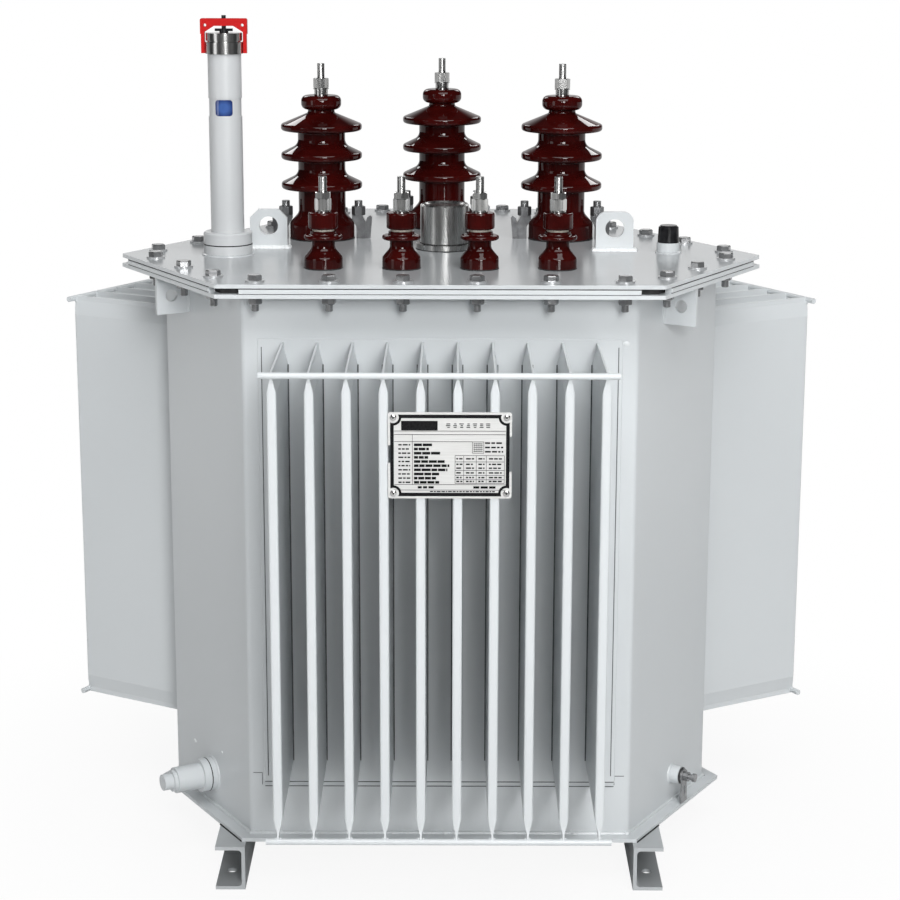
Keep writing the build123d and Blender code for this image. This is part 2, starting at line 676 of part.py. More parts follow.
def gauge_tube():
    """Tube with a shallow waist and a window in its front."""
    low = gauge_base_top()
    waist = GAUGE_TUBE_R - GAUGE_WAIST_STEP
    outline = [(GAUGE_BORE_R, low), (GAUGE_TUBE_R, low), (GAUGE_TUBE_R, GAUGE_WAIST_LOW)]
    outline += [(waist, GAUGE_WAIST_LOW), (waist, GAUGE_WAIST_HIGH), (GAUGE_TUBE_R, GAUGE_WAIST_HIGH)]
    outline += [(GAUGE_TUBE_R, GAUGE_TUBE_TOP), (GAUGE_BORE_R, GAUGE_TUBE_TOP)]
    return at_gauge(turned(outline) - window_blank())


def gauge_window():
    """Curved pane that fills the window."""
    ring = Cylinder(GAUGE_TUBE_R - GAUGE_WAIST_STEP, GAUGE_TUBE_TOP)
    ring -= Cylinder(GAUGE_BORE_R, GAUGE_TUBE_TOP + OVERRUN)
    pane = Pos(0, 0, GAUGE_TUBE_TOP / 2) * ring
    return at_gauge(pane & window_blank())


def gauge_cap():
    """Stepped lid with a groove between its two discs."""
    low = GAUGE_TUBE_TOP
    mid = low + GAUGE_CAP_HEIGHT
    lid = mid + GAUGE_CAP_GROOVE_H
    outline = [(0, low), (GAUGE_CAP_R, low), (GAUGE_CAP_R, mid), (GAUGE_CAP_GROOVE_R, mid)]
    outline += [(GAUGE_CAP_GROOVE_R, lid), (GAUGE_LID_R, lid), (GAUGE_LID_R, lid + GAUGE_LID_HEIGHT)]
    outline += [(0, lid + GAUGE_LID_HEIGHT)]
    return at_gauge(turned(outline))


def gauge_yoke():
    """Bridge over the lid with two legs and a pierced top plate."""
    right = [(YOKE_LEG_IN, YOKE_FOOT_Z), (YOKE_LEG_OUT, YOKE_FOOT_Z), (YOKE_LEG_OUT, YOKE_SHOULDER_Z)]
    right += [(YOKE_HALF_WIDTH, YOKE_SHOULDER_Z), (YOKE_HALF_WIDTH, YOKE_TOP_Z)]
    left = [(-x, z) for x, z in reversed(right)]
    arch = [(-YOKE_LEG_IN, YOKE_ARCH_LOW_Z), (-YOKE_ARCH_HALF, YOKE_ARCH_TOP_Z)]
    arch += [(YOKE_ARCH_HALF, YOKE_ARCH_TOP_Z), (YOKE_LEG_IN, YOKE_ARCH_LOW_Z)]
    plate = side_plate(right + left + arch, -YOKE_T / 2, YOKE_T)
    plate = fillet(plate.edges().filter_by(Axis.Y).group_by(Axis.Z)[-1], YOKE_CORNER_R)
    hole = Rot(QUARTER_TURN, 0, 0) * Cylinder(YOKE_HOLE_R, YOKE_T + OVERRUN)
    for x in (-YOKE_HOLE_X, YOKE_HOLE_X):
        plate -= Pos(x, 0, YOKE_HOLE_Z) * hole
    return at_gauge(plate - post(SCREW_R, 0, 0, GAUGE_TUBE_TOP, SCREW_TOP_Z - GAUGE_TUBE_TOP))


def gauge_knob():
    """Screw through the yoke with a pair of wings that press on the lid."""
    low = GAUGE_TUBE_TOP + GAUGE_CAP_HEIGHT + GAUGE_CAP_GROOVE_H + GAUGE_LID_HEIGHT
    part = post(SCREW_R, 0, 0, low, SCREW_TOP_Z - low)
    part += post(WING_R, 0, 0, low, WING_LOW_Z + WING_T - low)
    wings = block(-WING_REACH, WING_REACH, -WING_DEPTH / 2, WING_DEPTH / 2, WING_LOW_Z, WING_LOW_Z + WING_T)
    return at_gauge(part + wings)


# Other fittings on the cover

def relief_ring():
    return post(RELIEF_RING_R, RELIEF_X, RELIEF_Y, COVER_TOP, RELIEF_RING_H)


def relief_cap():
    """Cylindrical cap with a shallow dished lid."""
    low = RELIEF_RING_H
    high = low + RELIEF_CAP_H
    outline = [(0, low), (RELIEF_CAP_R, low), (RELIEF_CAP_R, high - RELIEF_EDGE)]
    outline += [(RELIEF_CAP_R - RELIEF_EDGE, high), (RELIEF_DISH_R, high)]
    outline += [(RELIEF_DISH_R - RELIEF_EDGE, high - RELIEF_DISH_DEPTH), (0, high - RELIEF_DISH_DEPTH)]
    return Pos(RELIEF_X, RELIEF_Y, COVER_TOP) * turned(outline)


def at_thermometer(shape):
    return Pos(COVER_TIP_X - THERMO_INSET, THERMO_Y, COVER_TOP) * shape


def thermometer_boss():
    return at_thermometer(post(THERMO_BOSS_R, 0, 0, 0, THERMO_BOSS_H))


def thermometer_cap():
    """Slightly tapered plug with a lip on top and a rib down its front."""
    low = THERMO_BOSS_H
    high = low + THERMO_CAP_H
    outline = [(0, low), (THERMO_CAP_R, low), (THERMO_CAP_TOP_R, high - THERMO_EDGE)]
    outline += [(THERMO_CAP_TOP_R - THERMO_EDGE, high), (THERMO_LIP_R, high)]
    outline += [(THERMO_LIP_R, high + THERMO_LIP_H), (0, high + THERMO_LIP_H)]
    half = THERMO_RIB_WIDTH / 2
    rib = block(-half, half, -THERMO_RIB_REACH, 0, low, high - THERMO_EDGE * 2)
    return at_thermometer(turned(outline) + rib)


# Fittings low on the plain front sides

def on_short_side(shape, side, along, height):
    """Place a part whose Z axis points out of the wall; side is -1 left or 1 right."""
    out = Pos(along, SHORT_APOTHEM, height) * Rot(-QUARTER_TURN, 0, 0) * shape
    return Rot(0, 0, -THIRD_TURN * side) * out


def stepped(rings):
    """Coaxial discs from a list of (radius, length), starting on the wall."""
    low = 0
    part = None
    for radius, length in rings:
        disc = post(radius, 0, 0, low, length)
        part = disc if part is None else part + disc
        low += length
    return part


def drain_boss():
    return on_short_side(stepped([(DRAIN_BOSS_R, DRAIN_BOSS_T)]), -1, 0, DRAIN_Z)


def drain_cap():
    """Seal land, flange, body, collar and nose of the closed drain."""
    rings = [(DRAIN_SEAL_R, DRAIN_SEAL_T), (DRAIN_FLANGE_R, DRAIN_FLANGE_T)]
    rings += [(DRAIN_BODY_R, DRAIN_BODY_T), (DRAIN_COLLAR_R, DRAIN_COLLAR_T)]
    rings += [(DRAIN_NOSE_R, DRAIN_NOSE_T)]
    part = Pos(0, 0, DRAIN_BOSS_T) * stepped(rings)
    return on_short_side(part, -1, 0, DRAIN_Z)


def sampling_boss():
    part = stepped([(COCK_BOSS_R, COCK_BOSS_T)])
    return on_short_side(part, 1, -COCK_OFFSET, COCK_Z)


def cock_lever():
    """Flat handle hanging from its ring, widening to the end, with a slot down its middle."""
    top = COCK_LEVER_TOP_WIDTH / 2
    end = COCK_LEVER_END_WIDTH / 2
    blade = [(-top, 0), (top, 0), (end, -COCK_LEVER_LENGTH), (-end, -COCK_LEVER_LENGTH)]
    handle = make_face(Polyline(*blade, close=True)) + Circle(COCK_RING_R)
    middle = (COCK_SLOT_NEAR + COCK_SLOT_FAR) / 2
    slot = SlotOverall(COCK_SLOT_FAR - COCK_SLOT_NEAR, COCK_SLOT_WIDTH, rotation=QUARTER_TURN)
    handle -= Pos(0, -middle) * slot
    return extrude(handle, amount=COCK_LEVER_T)


def sampling_cock():
    """Seal, handle ring, body, nose and screw head, one after the other along the axis."""
    handle_low = COCK_BOSS_T + COCK_SEAL_T
    part = Pos(0, 0, COCK_BOSS_T) * stepped([(COCK_SEAL_R, COCK_SEAL_T), (COCK_RING_R, COCK_RING_T),
                                             (COCK_BODY_R, COCK_BODY_T), (COCK_NOSE_R, COCK_NOSE_T),
                                             (COCK_HEAD_R, COCK_HEAD_T)])
    part += Pos(0, 0, handle_low) * Rot(0, 0, HALF_TURN) * cock_lever()
    return on_short_side(part, 1, -COCK_OFFSET, COCK_Z)


def rating_plate():
    """Blank plate on the middle fin noses, with a shallow notch in each side."""
    face = RectangleRounded(PLATE_WIDTH, PLATE_HEIGHT, PLATE_CORNER_R)
    for side, height in ((-1, PLATE_LEFT_NOTCH), (1, PLATE_RIGHT_NOTCH)):
        notch = Rectangle(PLATE_NOTCH_DEPTH * 2, height)
        face -= Pos(side * PLATE_WIDTH / 2, PLATE_NOTCH_RISE) * notch
    return Pos(PLATE_X, NOSE_Y, FIN_TOP - PLATE_DROP) * extrude(Plane.XZ * face, amount=PLATE_T)


def group(shapes):
    return Compound(children=list(shapes))


def turned_set(shapes, turn):
    return [Rot(0, 0, THIRD_TURN * turn) * shape for shape in shapes]


def build():
    """All nodes by name."""
    nodes = {
        "tank_shell": tank_shell(),
        "base_plate": base_plate(),
        "tank_rim": ring_plate(RIM_OVERHANG, -WALL_T, RIM_LOW, RIM_T),
        "cover_gasket": ring_plate(RIM_OVERHANG - GASKET_SETBACK, 0, RIM_TOP, GASKET_T),
        "edge_bars": edge_bars(),
        "cover_plate": rounded_hex(RIM_OVERHANG, COVER_LOW, COVER_T, CORNER_R),
        "left_foot": foot(-1),
        "right_foot": foot(1),
        "left_cover_lug": cover_lug(LUG_INSET - COVER_TIP_X, LUG_LEFT_Y, False),
        "right_cover_lug": cover_lug(COVER_TIP_X - LUG_INSET, LUG_RIGHT_Y, True),
        "gauge_base": gauge_base(),
        "gauge_tube": gauge_tube(),
        "gauge_window": gauge_window(),
        "gauge_cap": gauge_cap(),
        "gauge_yoke": gauge_yoke(),
        "gauge_knob": gauge_knob(),
        "relief_ring": relief_ring(),
        "relief_cap": relief_cap(),
        "thermometer_boss": thermometer_boss(),
        "thermometer_cap": thermometer_cap(),
        "drain_boss": drain_boss(),
        "drain_cap": drain_cap(),
        "sampling_boss": sampling_boss(),
        "sampling_cock": sampling_cock(),
        "nameplate": rating_plate(),
    }
    banks = {True: fin_bank(True), False: fin_bank(False)}
    for name, turn, under in (("front", 0, True), ("rear_right", 1, False), ("rear_left", 2, False)):
        nodes[name + "_fin_bank"] = Rot(0, 0, THIRD_TURN * turn) * banks[under]
        nodes[name + "_tie_bars"] = group(turned_set(tie_bar_pair(under), turn))
    bracket = side_bracket()
    nodes["side_lifting_brackets"] = group([Rot(0, 0, THIRD_TURN * turn) * bracket for turn in range(3)])
    clamps = []
    studs = []
    for name, place in zip(("left", "middle", "right"), hv_places()):
        nodes["hv_bushing_" + name] = hv_bushing(*place)
        studs.append(hv_terminal(*place))
        clamps += hv_clamp_set(*place)
    nodes["hv_terminals"] = group(studs)
    nodes["hv_clamps"] = group(clamps)
    nodes["lv_bushings"] = group([lv_bushing(x) for x in lv_places()])
    nodes["lv_gaskets"] = group([lv_gasket(x) for x in lv_places()])
    nodes["lv_caps"] = group([lv_cap(x) for x in lv_places()])
    nodes["lv_terminals"] = group([lv_terminal(x) for x in lv_places()])
    return nodes


os.makedirs("parts", exist_ok=True)
for node, shape in build().items():
    export_step(shape, "parts/" + node + ".step")
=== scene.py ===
import json
import math
import random

import bpy
from mathutils import Matrix, Vector


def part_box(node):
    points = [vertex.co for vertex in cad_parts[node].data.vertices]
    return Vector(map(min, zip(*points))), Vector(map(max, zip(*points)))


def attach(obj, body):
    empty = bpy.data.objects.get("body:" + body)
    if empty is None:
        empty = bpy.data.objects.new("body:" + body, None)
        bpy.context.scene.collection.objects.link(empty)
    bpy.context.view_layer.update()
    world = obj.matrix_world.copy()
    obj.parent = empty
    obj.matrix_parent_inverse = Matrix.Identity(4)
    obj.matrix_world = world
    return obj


# Looks of the six-sided power transformer: paint, porcelain, zinc and steel, cover bolts,
# weld beads, thread, seals, rating plate lines, and the studio. Lengths in metres.

ROOT3 = math.sqrt(3.0)
THIRD_TURN = math.radians(120.0)
SHARP_ANGLE = math.radians(32.0)
ORIGIN = Vector((0.0, 0.0, 0.0))
UP = Vector((0.0, 0.0, 1.0))

# Camera, from the vanishing lines of the cover, the walls and the fins
CAMERA_PLACE = Vector((0.0136, -3.1688, 1.2804))
CAMERA_PITCH = math.radians(13.312)
CAMERA_YAW = math.radians(-0.0104)
CAMERA_ROLL = math.radians(-0.1426)
FOCAL_PIXELS = 2274.11
IMAGE_WIDTH = 900.0
SENSOR = 36.0

# Steps round a turn, and the least radius that isn't on the axis
ON_AXIS = 1e-7
HEX_SIDES = 6
ROUND_STEPS = 40
WASHER_STEPS = 28
BOLT_STEPS = 20
SEAL_STEPS = 48
SCREW_STEPS = 32
BLOB_STEPS = 10
BLOB_RINGS = 6

# Long sides of the tank, in the order of their turns
LONG_SIDES = ("front", "rear_right", "rear_left")

# Cover bolts
LONG_SIDE_BOLTS = (-0.235, -0.141, -0.047, 0.047, 0.141, 0.235)
SHORT_SIDE_BOLTS = (-0.094, 0.0, 0.094)
BOLT_INSET = 0.025
BOLT_R = 0.005
HEAD_ACROSS = 0.017
HEAD_HEIGHT = 0.007
WASHER_R = 0.0124
WASHER_T = 0.002
NUT_ACROSS = 0.0165
NUT_HEIGHT = 0.0085
BOLT_END = 0.0095
HEX_BEVEL = 0.0012

# Weld beads
BEAD_STEP = 0.002
BEAD_WAVE = 0.006
BEAD_SIDES = 8
BEAD_WAVE_SHARE = 0.10
BEAD_UNEVEN_SHARE = 0.05
RING_WAVE_SHARE = 0.08
RING_WAVE_TURN = 2.1
RING_LEAST_STEPS = 24
SHELL_BEAD_R = 0.0032
PANEL_BEAD_R = 0.0016
PANEL_T = 0.002
FITTING_BEAD_R = 0.0042
FITTING_BEAD_OUT = 0.0018
SMALL_BEAD_R = 0.0024

# Thread on the studs
THREAD_PITCH = 0.0015
THREAD_DEPTH = 0.0003
THREAD_TURN_STEPS = 20
THREAD_ROWS = 6
THREAD_CLEARANCE = 0.00003
THREAD_TOP_SPARE = 0.0006

# Studio
FLOOR_SIZE = 30.0
FLOOR_COLOUR = (0.76, 0.76, 0.76)
FLOOR_ROUGH = 0.9
FLOOR_SPECULAR = 0.1
FLOOR_FADE = (0.3, 1.0)
FLOOR_WHITE_SHARE = 0.91
FLOOR_REAR = (0.0, 1.5)
BACKDROP_REAR = (0.80, 0.97)
AMBIENT = 0.10
AMBIENT_COLOUR = (0.95, 0.98, 1.0, 1.0)
MIRRORED_AMBIENT = 0.03
MIDDLE = (0.0, 0.0, 0.6)

# Lamps: name, place, aim, width, height, watts
LAMPS = (("key", (0.7, -4.0, 1.95), MIDDLE, 0.9, 1.5, 93.0),
         ("front_spot", (-0.3, -4.6, 1.9), (0.0, 0.0, 0.8), 0.3, 0.3, 8.0),
         ("right_fill", (3.4, -2.2, 1.6), MIDDLE, 1.2, 2.0, 0.5),
         ("left_fill", (-3.4, -2.6, 1.6), MIDDLE, 1.2, 2.0, 16.0),
         ("rear_left", (-1.8, 3.8, 3.2), (0.0, 0.0, 0.5), 1.2, 1.2, 30.0),
         ("rear_right", (1.8, 3.8, 3.2), (0.0, 0.0, 0.5), 1.2, 1.2, 30.0),
         ("top", (0.3, -1.9, 3.2), (0.0, -0.3, 0.7), 2.6, 1.8, 72.0))

# Paint and metal: grains are noise scales, depths are metres, ranges are the two ends of a ramp
PLAIN_SPECULAR = 0.5
SPREAD_RANGE = (0.15, 0.85)
SHADE_RANGE = (0.35, 0.65)
SOFT_DETAIL = 2.0
CLOUD_GRAIN = 4.0
CLOUD_RANGE = (0.2, 0.8)
GLOSS_GRAIN = 14.0
PEEL_GRAIN = 330.0
PEEL_DEPTH = 0.0006
# Cover: a random cloud, and painted shade on the faces that look up
COVER_SHARES = (0.6, 0.6)
COVER_RANGE = (0.3, 0.9)
# Feet: painted shade on the web faces and on the upward faces low in the channel
FOOT_GRAIN = 9.0
FOOT_SHARES = (0.4, 0.6)
FOOT_RANGE = (0.2, 0.85)
FOOT_SHADE_Z = (0.030, 0.045)
METAL_DETAIL = (4.0, 0.6)
METAL_GLOSS_SHARE = 0.6
METAL_RELIEF_SHARE = 2.5
METAL_DEPTH = 0.0003
DULL_ROUGH_SPARE = 0.08
DULL_GLOSS_SHARE = 0.3
DULL_RELIEF_SHARE = 3.0
DULL_DEPTH = 0.0004
GLAZE_COLOURS = ((0.022, 0.0016, 0.0013), (0.044, 0.0031, 0.0026))
GLAZE_GRAIN = (22.0, 4.0)
GLAZE_WAVE_GRAIN = (70.0, 1.5)
GLAZE_WAVE = (0.16, 0.0009)
GLAZE_ROUGH = 0.35
GLAZE_COAT = (0.55, 0.03)
# Sight glass: painted shade at the rim and painted light in the middle
PANE_COLOURS = ((0.018, 0.036, 0.14), (0.046, 0.105, 0.32))
PANE_SPREAD = 0.62
PANE_RANGE = (0.15, 0.6)
PANE_ROUGH = 0.12
PANE_COAT = (0.6, 0.05)
PANE_GRAIN = 120.0
PANE_RELIEF = (0.04, 0.0005)

# Seals and studs: piece, slot, top above the cover, length and radius of each kind of stud
STUDS = (("hv_stud_threads", "bright_steel", 0.248, 0.0195, 0.0050),
         ("lv_stud_threads", "bright_steel", 0.121, 0.0195, 0.0052),
         ("clamp_stud_threads", "zinc", 0.054, 0.0072, 0.0055))
HV_BUSHINGS = ("hv_bushing_left", "hv_bushing_middle", "hv_bushing_right")
CLAMP_REACH = 0.052
LV_PITCH = 0.1026
LV_COUNT = 4
GAUGE_SEAL = (0.0137, 0.0160, 0.0316, 0.0334)
DRAIN_HEIGHT = 0.110
DRAIN_BOSS_R = 0.0233
DRAIN_SEAL = (0.0086, 0.0109, 0.0216, 0.0235)
COCK_HEIGHT = 0.106
COCK_ALONG = -0.015
COCK_BOSS_R = 0.0125
COCK_SEAL = (0.0151, 0.0178, 0.0106, 0.0116)
SEAL_EDGE_SHARE = 0.3
SEAT_T = 0.0014
HV_SEAT_R = 0.0466
LV_SEAT_R = 0.0257
SEAT_SPARE = 0.0006

# Painted shade in the seams of the front wall and beside the fin roots, from the middle of the side: (x, z)
SEAM_T = 0.0004
SEAM_WIDTH = 0.0011
CORNER_SEAM_WIDTH = 0.00077
PANEL_LINE_RISE = 0.0018
WALL_LINE_DROP = 0.0052
PANEL_SEAM_X = 0.2300
PANEL_SEAM_Z = (0.150, 0.735)
WALL_SEAMS = (((-0.2500, 0.1527), (-0.2385, 0.1527), (-0.2385, 0.1362)),
              ((0.2480, 0.1487), (0.2352, 0.1487), (0.2352, 0.1362)))
ROOT_SHADE_WIDTH = 0.0016
FIN_COUNT = 10
FIN_PITCH = 0.045
FIN_HALF = 0.006
ROOT_SHADE_Z = (0.172, 0.712)

# Painted shadow in the joints between cover, bars and rim, and where the base plate crosses the feet
JOINT_T = 0.0014
JOINT_SETBACK = 0.0005
JOINT_DEPTH = 0.0016
LONG_JOINT_INSET = 0.0304
SHORT_JOINT_INSET = 0.0200
FOOT_JOINT_R = 0.0014

# Weld marks
BLOB_R = 0.0019
BLOB_ASIDE = 0.0026
BLOB_SHIFT = 0.0004
BLOB_SIZES = (0.85, 1.15)
BLOB_BEHIND_SHARE = 0.55
BLOB_ASTRIDE_SHARE = 0.85
TIE_BAR_R = 0.004
BRACKET_OFFSET = 0.046
BRACKET_T = 0.006
BRACKET_BEAD_R = 0.0026
BRACKET_WELD_LOW = 0.002
BRACKET_WELD_HIGH = 0.003
BRACKET_WELD_OUT = (0.004, 0.042)
SPOTS = ((0.2402, 0.7405, 0.0046),)
SIDE_SPOTS = ((1, -0.0332, 0.1513, 0.0026), (1, 0.0586, 0.1383, 0.0040), (2, 0.0480, 0.0700, 0.0020))
WALL_SPOT_SHAPE = (1.0, 0.22, 0.7, 1.0)
SIDE_SPOT_SHAPE = (1.0, 0.8, 0.3, 1.0)

# Rating plate, in metres from its left and top edges
PLATE_INK_T = 0.0003
PLATE_FRAME = (0.0028, 0.0071)
PLATE_ARCS = (0.0070, 0.0100)
PLATE_ARC_STEPS = 8
PLATE_SCREW_INSET = 0.0063
PLATE_CORNERS = ((True, True), (False, True), (False, False), (True, False))
PLATE_SCREW = ((0.0040, 0.0), (0.0040, 0.0007), (0.0034, 0.0014), (0.0022, 0.0018), (0.0, 0.0020))
PLATE_CROSS = (0.0030, 0.0009, 0.0022)

# Lines of the plate, in shares of its width and height
ACROSS_HALF_SHARE = 0.0022
DOWN_HALF_SHARE = 0.0016
BLOCK_SHARES = (0.107, 0.098, 0.401, 0.208)
RULE_SHARES = ((0.05, 0.95, (0.2155, 0.256)), (0.05, 0.68, (0.338,)), (0.05, 0.95, (0.838, 0.902)),
               (0.542, 0.94, (0.500, 0.572, 0.672, 0.730, 0.780, 0.823)))
LEFT_RULE_SHARES = (0.197, 0.256, 0.835)
COLUMN_SHARES = (0.542, 0.612, 0.713, 0.794, 0.94)
COLUMN_REACH_SHARES = (0.500, 0.823)
GRID_SIDE_SHARES = (0.681, 0.773)
GRID_LEVEL_SHARES = (0.340, 0.471)
GRID_UPRIGHT_SHARES = (0.338, 0.471)
GRID_CELLS = 6
GRID_DOWN_SHARES = (0.352, 0.459)
GRID_ACROSS_SHARES = (0.690, 0.764)

# Dashes of the plate, in the same shares, their lengths in heights of a dash
DASH_LENGTHS = (0.9, 2.6)
TITLE_MARKS = 7
TITLE_LEFT_SHARE = 0.468
TITLE_PITCH_SHARE = 0.0535
TITLE_WIDTH_SHARE = 0.036
TITLE_LEVEL_SHARES = (0.132, 0.152, 0.172)
TITLE_HALF_SHARE = 0.0045
TITLE_TRIM_SHARE = 0.012
LIST_ROWS = 10
LIST_TOP_SHARE = 0.375
LIST_PITCH_SHARE = 0.0485
LIST_NAME_SHARES = (0.084, 0.180)
LIST_VALUE_SHARES = (0.210, 0.32, 0.50)
SIDE_LEVEL_SHARES = (0.353, 0.404, 0.454)
SIDE_SHARES = (0.783, 0.930)
TABLE_LEVEL_SHARES = (0.536, 0.60, 0.645, 0.70, 0.755, 0.80)
TABLE_CELL_SHARES = ((0.552, 0.602), (0.630, 0.695), (0.730, 0.780), (0.815, 0.920))
SMALL_DASH = (0.016, 0.008)
LIST_DASH = (0.030, 0.006)
SIDE_DASH = (0.018, 0.010)
END_DASHES = ((0.24, 0.37, 0.870, 0.026, 0.010), (0.69, 0.87, 0.870, 0.026, 0.010),
              (0.34, 0.87, 0.919, 0.012, 0.007))

random.seed(11)
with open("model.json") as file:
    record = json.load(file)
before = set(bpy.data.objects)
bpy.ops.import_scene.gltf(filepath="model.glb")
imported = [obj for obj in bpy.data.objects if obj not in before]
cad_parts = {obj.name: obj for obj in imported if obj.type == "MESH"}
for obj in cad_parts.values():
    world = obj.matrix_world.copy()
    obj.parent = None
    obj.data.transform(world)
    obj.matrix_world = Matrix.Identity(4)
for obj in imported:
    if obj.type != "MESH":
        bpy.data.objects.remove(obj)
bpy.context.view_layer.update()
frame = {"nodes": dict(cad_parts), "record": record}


# Mesh building

def ring(radius, z, steps):
    """Points round the Z axis at one height."""
    angles = [math.tau * k / steps for k in range(steps)]
    return [Vector((radius * math.cos(a), radius * math.sin(a), z)) for a in angles]


def turned(profile, steps=ROUND_STEPS):
    """Vertices and faces of a solid of revolution about Z from (radius, height) points."""
    verts, faces, rings = [], [], []
    for radius, height in profile:
        if radius < ON_AXIS:
            rings.append([len(verts)])
            verts.append(UP * height)
            continue
        rings.append(list(range(len(verts), len(verts) + steps)))
        verts += ring(radius, height, steps)
    for low, high in zip(rings, rings[1:]):
        for index in range(steps):
            after = (index + 1) % steps
            if len(low) == 1:
                faces.append((low[0], high[after], high[index]))
            elif len(high) == 1:
                faces.append((low[index], low[after], high[0]))
            else:
                faces.append((low[index], low[after], high[after], high[index]))
    return verts, faces


def box_part(low, high):
    """Vertices and faces of a box between two corners."""
    xs, ys, zs = zip(low, high)
    verts = [Vector((x, y, z)) for z in zs for y in ys for x in xs]
    faces = [(0, 2, 3, 1), (4, 5, 7, 6), (0, 1, 5, 4), (2, 6, 7, 3), (0, 4, 6, 2), (1, 3, 7, 5)]
    return verts, faces


def band(first, second, steps):
    """Faces between two rings of points, given by their first points."""
    return [(first + k, first + (k + 1) % steps, second + (k + 1) % steps, second + k) for k in range(steps)]


def hexagon_part(across, low, height, bevel_low, bevel_high):
    """Six-sided nut or bolt head with its corners taken off."""
    corner = across / ROOT3
    top = low + height
    rings = ((corner - bevel_low, low), (corner, low + bevel_low),
             (corner, top - bevel_high), (corner - bevel_high, top))
    verts, faces = [], []
    for radius, z in rings:
        verts += ring(radius, z, HEX_SIDES)
    last = len(verts) - HEX_SIDES
    for first in range(0, last, HEX_SIDES):
        faces += band(first, first + HEX_SIDES, HEX_SIDES)
    faces.append(tuple(reversed(range(HEX_SIDES))))
    faces.append(tuple(range(last, last + HEX_SIDES)))
    return verts, faces


def tube_part(points, radii, sides, closed):
    """Skin around a line of points, with a radius at each point."""
    verts, faces = [], []
    count = len(points)
    side = None
    for index, point in enumerate(points):
        before = points[index - 1] if closed or index else point
        after = points[(index + 1) % count] if closed or index < count - 1 else point
        forward = (after - before).normalized()
        if side is None:
            side = forward.orthogonal().normalized()
        side = (side - forward * side.dot(forward)).normalized()
        other = forward.cross(side)
        for k in range(sides):
            angle = math.tau * k / sides
            verts.append(point + (side * math.cos(angle) + other * math.sin(angle)) * radii[index])
    for index in range(count if closed else count - 1):
        faces += band(index * sides, (index + 1) % count * sides, sides)
    if not closed:
        faces.append(tuple(reversed(range(sides))))
        faces.append(tuple(range((count - 1) * sides, count * sides)))
    return verts, faces


def moved(part, matrix):
    """The part carried by a matrix."""
    verts, faces = part
    return [matrix @ v for v in verts], faces


def piece(name, parts, material):
    """One object of the model from several parts, riding on the tank."""
    verts, faces = [], []
    for part_verts, part_faces in parts:
        base = len(verts)
        verts += part_verts
        faces += [tuple(index + base for index in face) for face in part_faces]
    mesh = bpy.data.meshes.new(name)
    mesh.from_pydata([tuple(v) for v in verts], [], faces)
    mesh.validate()
    mesh.shade_smooth()
    mesh.set_sharp_from_angle(angle=SHARP_ANGLE)
    mesh.materials.append(material)
    made = bpy.data.objects.new(name, mesh)
    bpy.context.scene.collection.objects.link(made)
    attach(made, "root")


# Places on the six-sided tank

def side_turn(index):
    """Carries the front long side, or the rear short side, to one of its three places."""
    return Matrix.Rotation(THIRD_TURN * index, 4, "Z")


def side_lengths(long_apothem, short_apothem):
    """Lengths of a long and a short side of the six-sided outline."""
    long_side = (short_apothem * 2 - long_apothem) * 2 / ROOT3
    short_side = (long_apothem * 2 - short_apothem) * 2 / ROOT3
    return long_side, short_side


def outline_corners(long_apothem, short_apothem, z):
    """Corner points of the six-sided outline, in order."""
    long_side = side_lengths(long_apothem, short_apothem)[0]
    corners = []
    for index in range(3):
        turn = side_turn(index)
        corners.append(turn @ Vector((-long_side / 2, -long_apothem, z)))
        corners.append(turn @ Vector((long_side / 2, -long_apothem, z)))
    return corners


def on_short_side(index, along, height):
    """Carries a part that stands on the ground to a short side, its top pointing out of the wall."""
    out = Matrix.Translation(Vector((along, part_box("tank_shell")[1].y, height)))
    return side_turn(index) @ out @ Matrix.Rotation(-math.pi / 2, 4, "X")


def middle_of(node):
    """Middle of a node's box, at the ground."""
    low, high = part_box(node)
    return Vector(((low.x + high.x) / 2, (low.y + high.y) / 2, 0.0))


# Materials

def new_material(name):
    """Empty node material; returns its tree and its surface shader."""
    material = bpy.data.materials.new(name)
    material.use_nodes = True
    tree = material.node_tree
    return material, tree, tree.nodes["Principled BSDF"]


def object_point(tree, scale=(1.0, 1.0, 1.0)):
    """Point on the model, in metres, stretched by scale."""
    coordinate = tree.nodes.new("ShaderNodeTexCoord")
    mapping = tree.nodes.new("ShaderNodeMapping")
    mapping.inputs["Scale"].default_value = scale
    tree.links.new(coordinate.outputs["Object"], mapping.inputs["Vector"])
    return mapping.outputs["Vector"]


def noise(tree, point, scale, detail=3.0, rough=0.5):
    """Cloud pattern over the model."""
    made = tree.nodes.new("ShaderNodeTexNoise")
    made.inputs["Scale"].default_value = scale
    made.inputs["Detail"].default_value = detail
    made.inputs["Roughness"].default_value = rough
    tree.links.new(point, made.inputs["Vector"])
    return made.outputs["Fac"]


def ramp(tree, value, low_colour, high_colour, low=SHADE_RANGE[0], high=SHADE_RANGE[1]):
    """Colour that goes from one to another as value rises."""
    made = tree.nodes.new("ShaderNodeValToRGB")
    first, last = made.color_ramp.elements
    first.position, last.position = low, high
    first.color = (*low_colour, 1.0)
    last.color = (*high_colour, 1.0)
    tree.links.new(value, made.inputs["Fac"])
    return made.outputs["Color"]


def spread(tree, value, low, high):
    """Value between two numbers."""
    made = tree.nodes.new("ShaderNodeMapRange")
    made.inputs["From Min"].default_value, made.inputs["From Max"].default_value = SPREAD_RANGE
    made.inputs["To Min"].default_value = low
    made.inputs["To Max"].default_value = high
    tree.links.new(value, made.inputs["Value"])
    return made.outputs["Result"]


def combine(tree, operation, first, second):
    """Arithmetic on two values, each a socket or a number."""
    made = tree.nodes.new("ShaderNodeMath")
    made.operation = operation
    for socket, value in zip(made.inputs, (first, second)):
        if isinstance(value, float):
            socket.default_value = value
        else:
            tree.links.new(value, socket)
    return made.outputs["Value"]


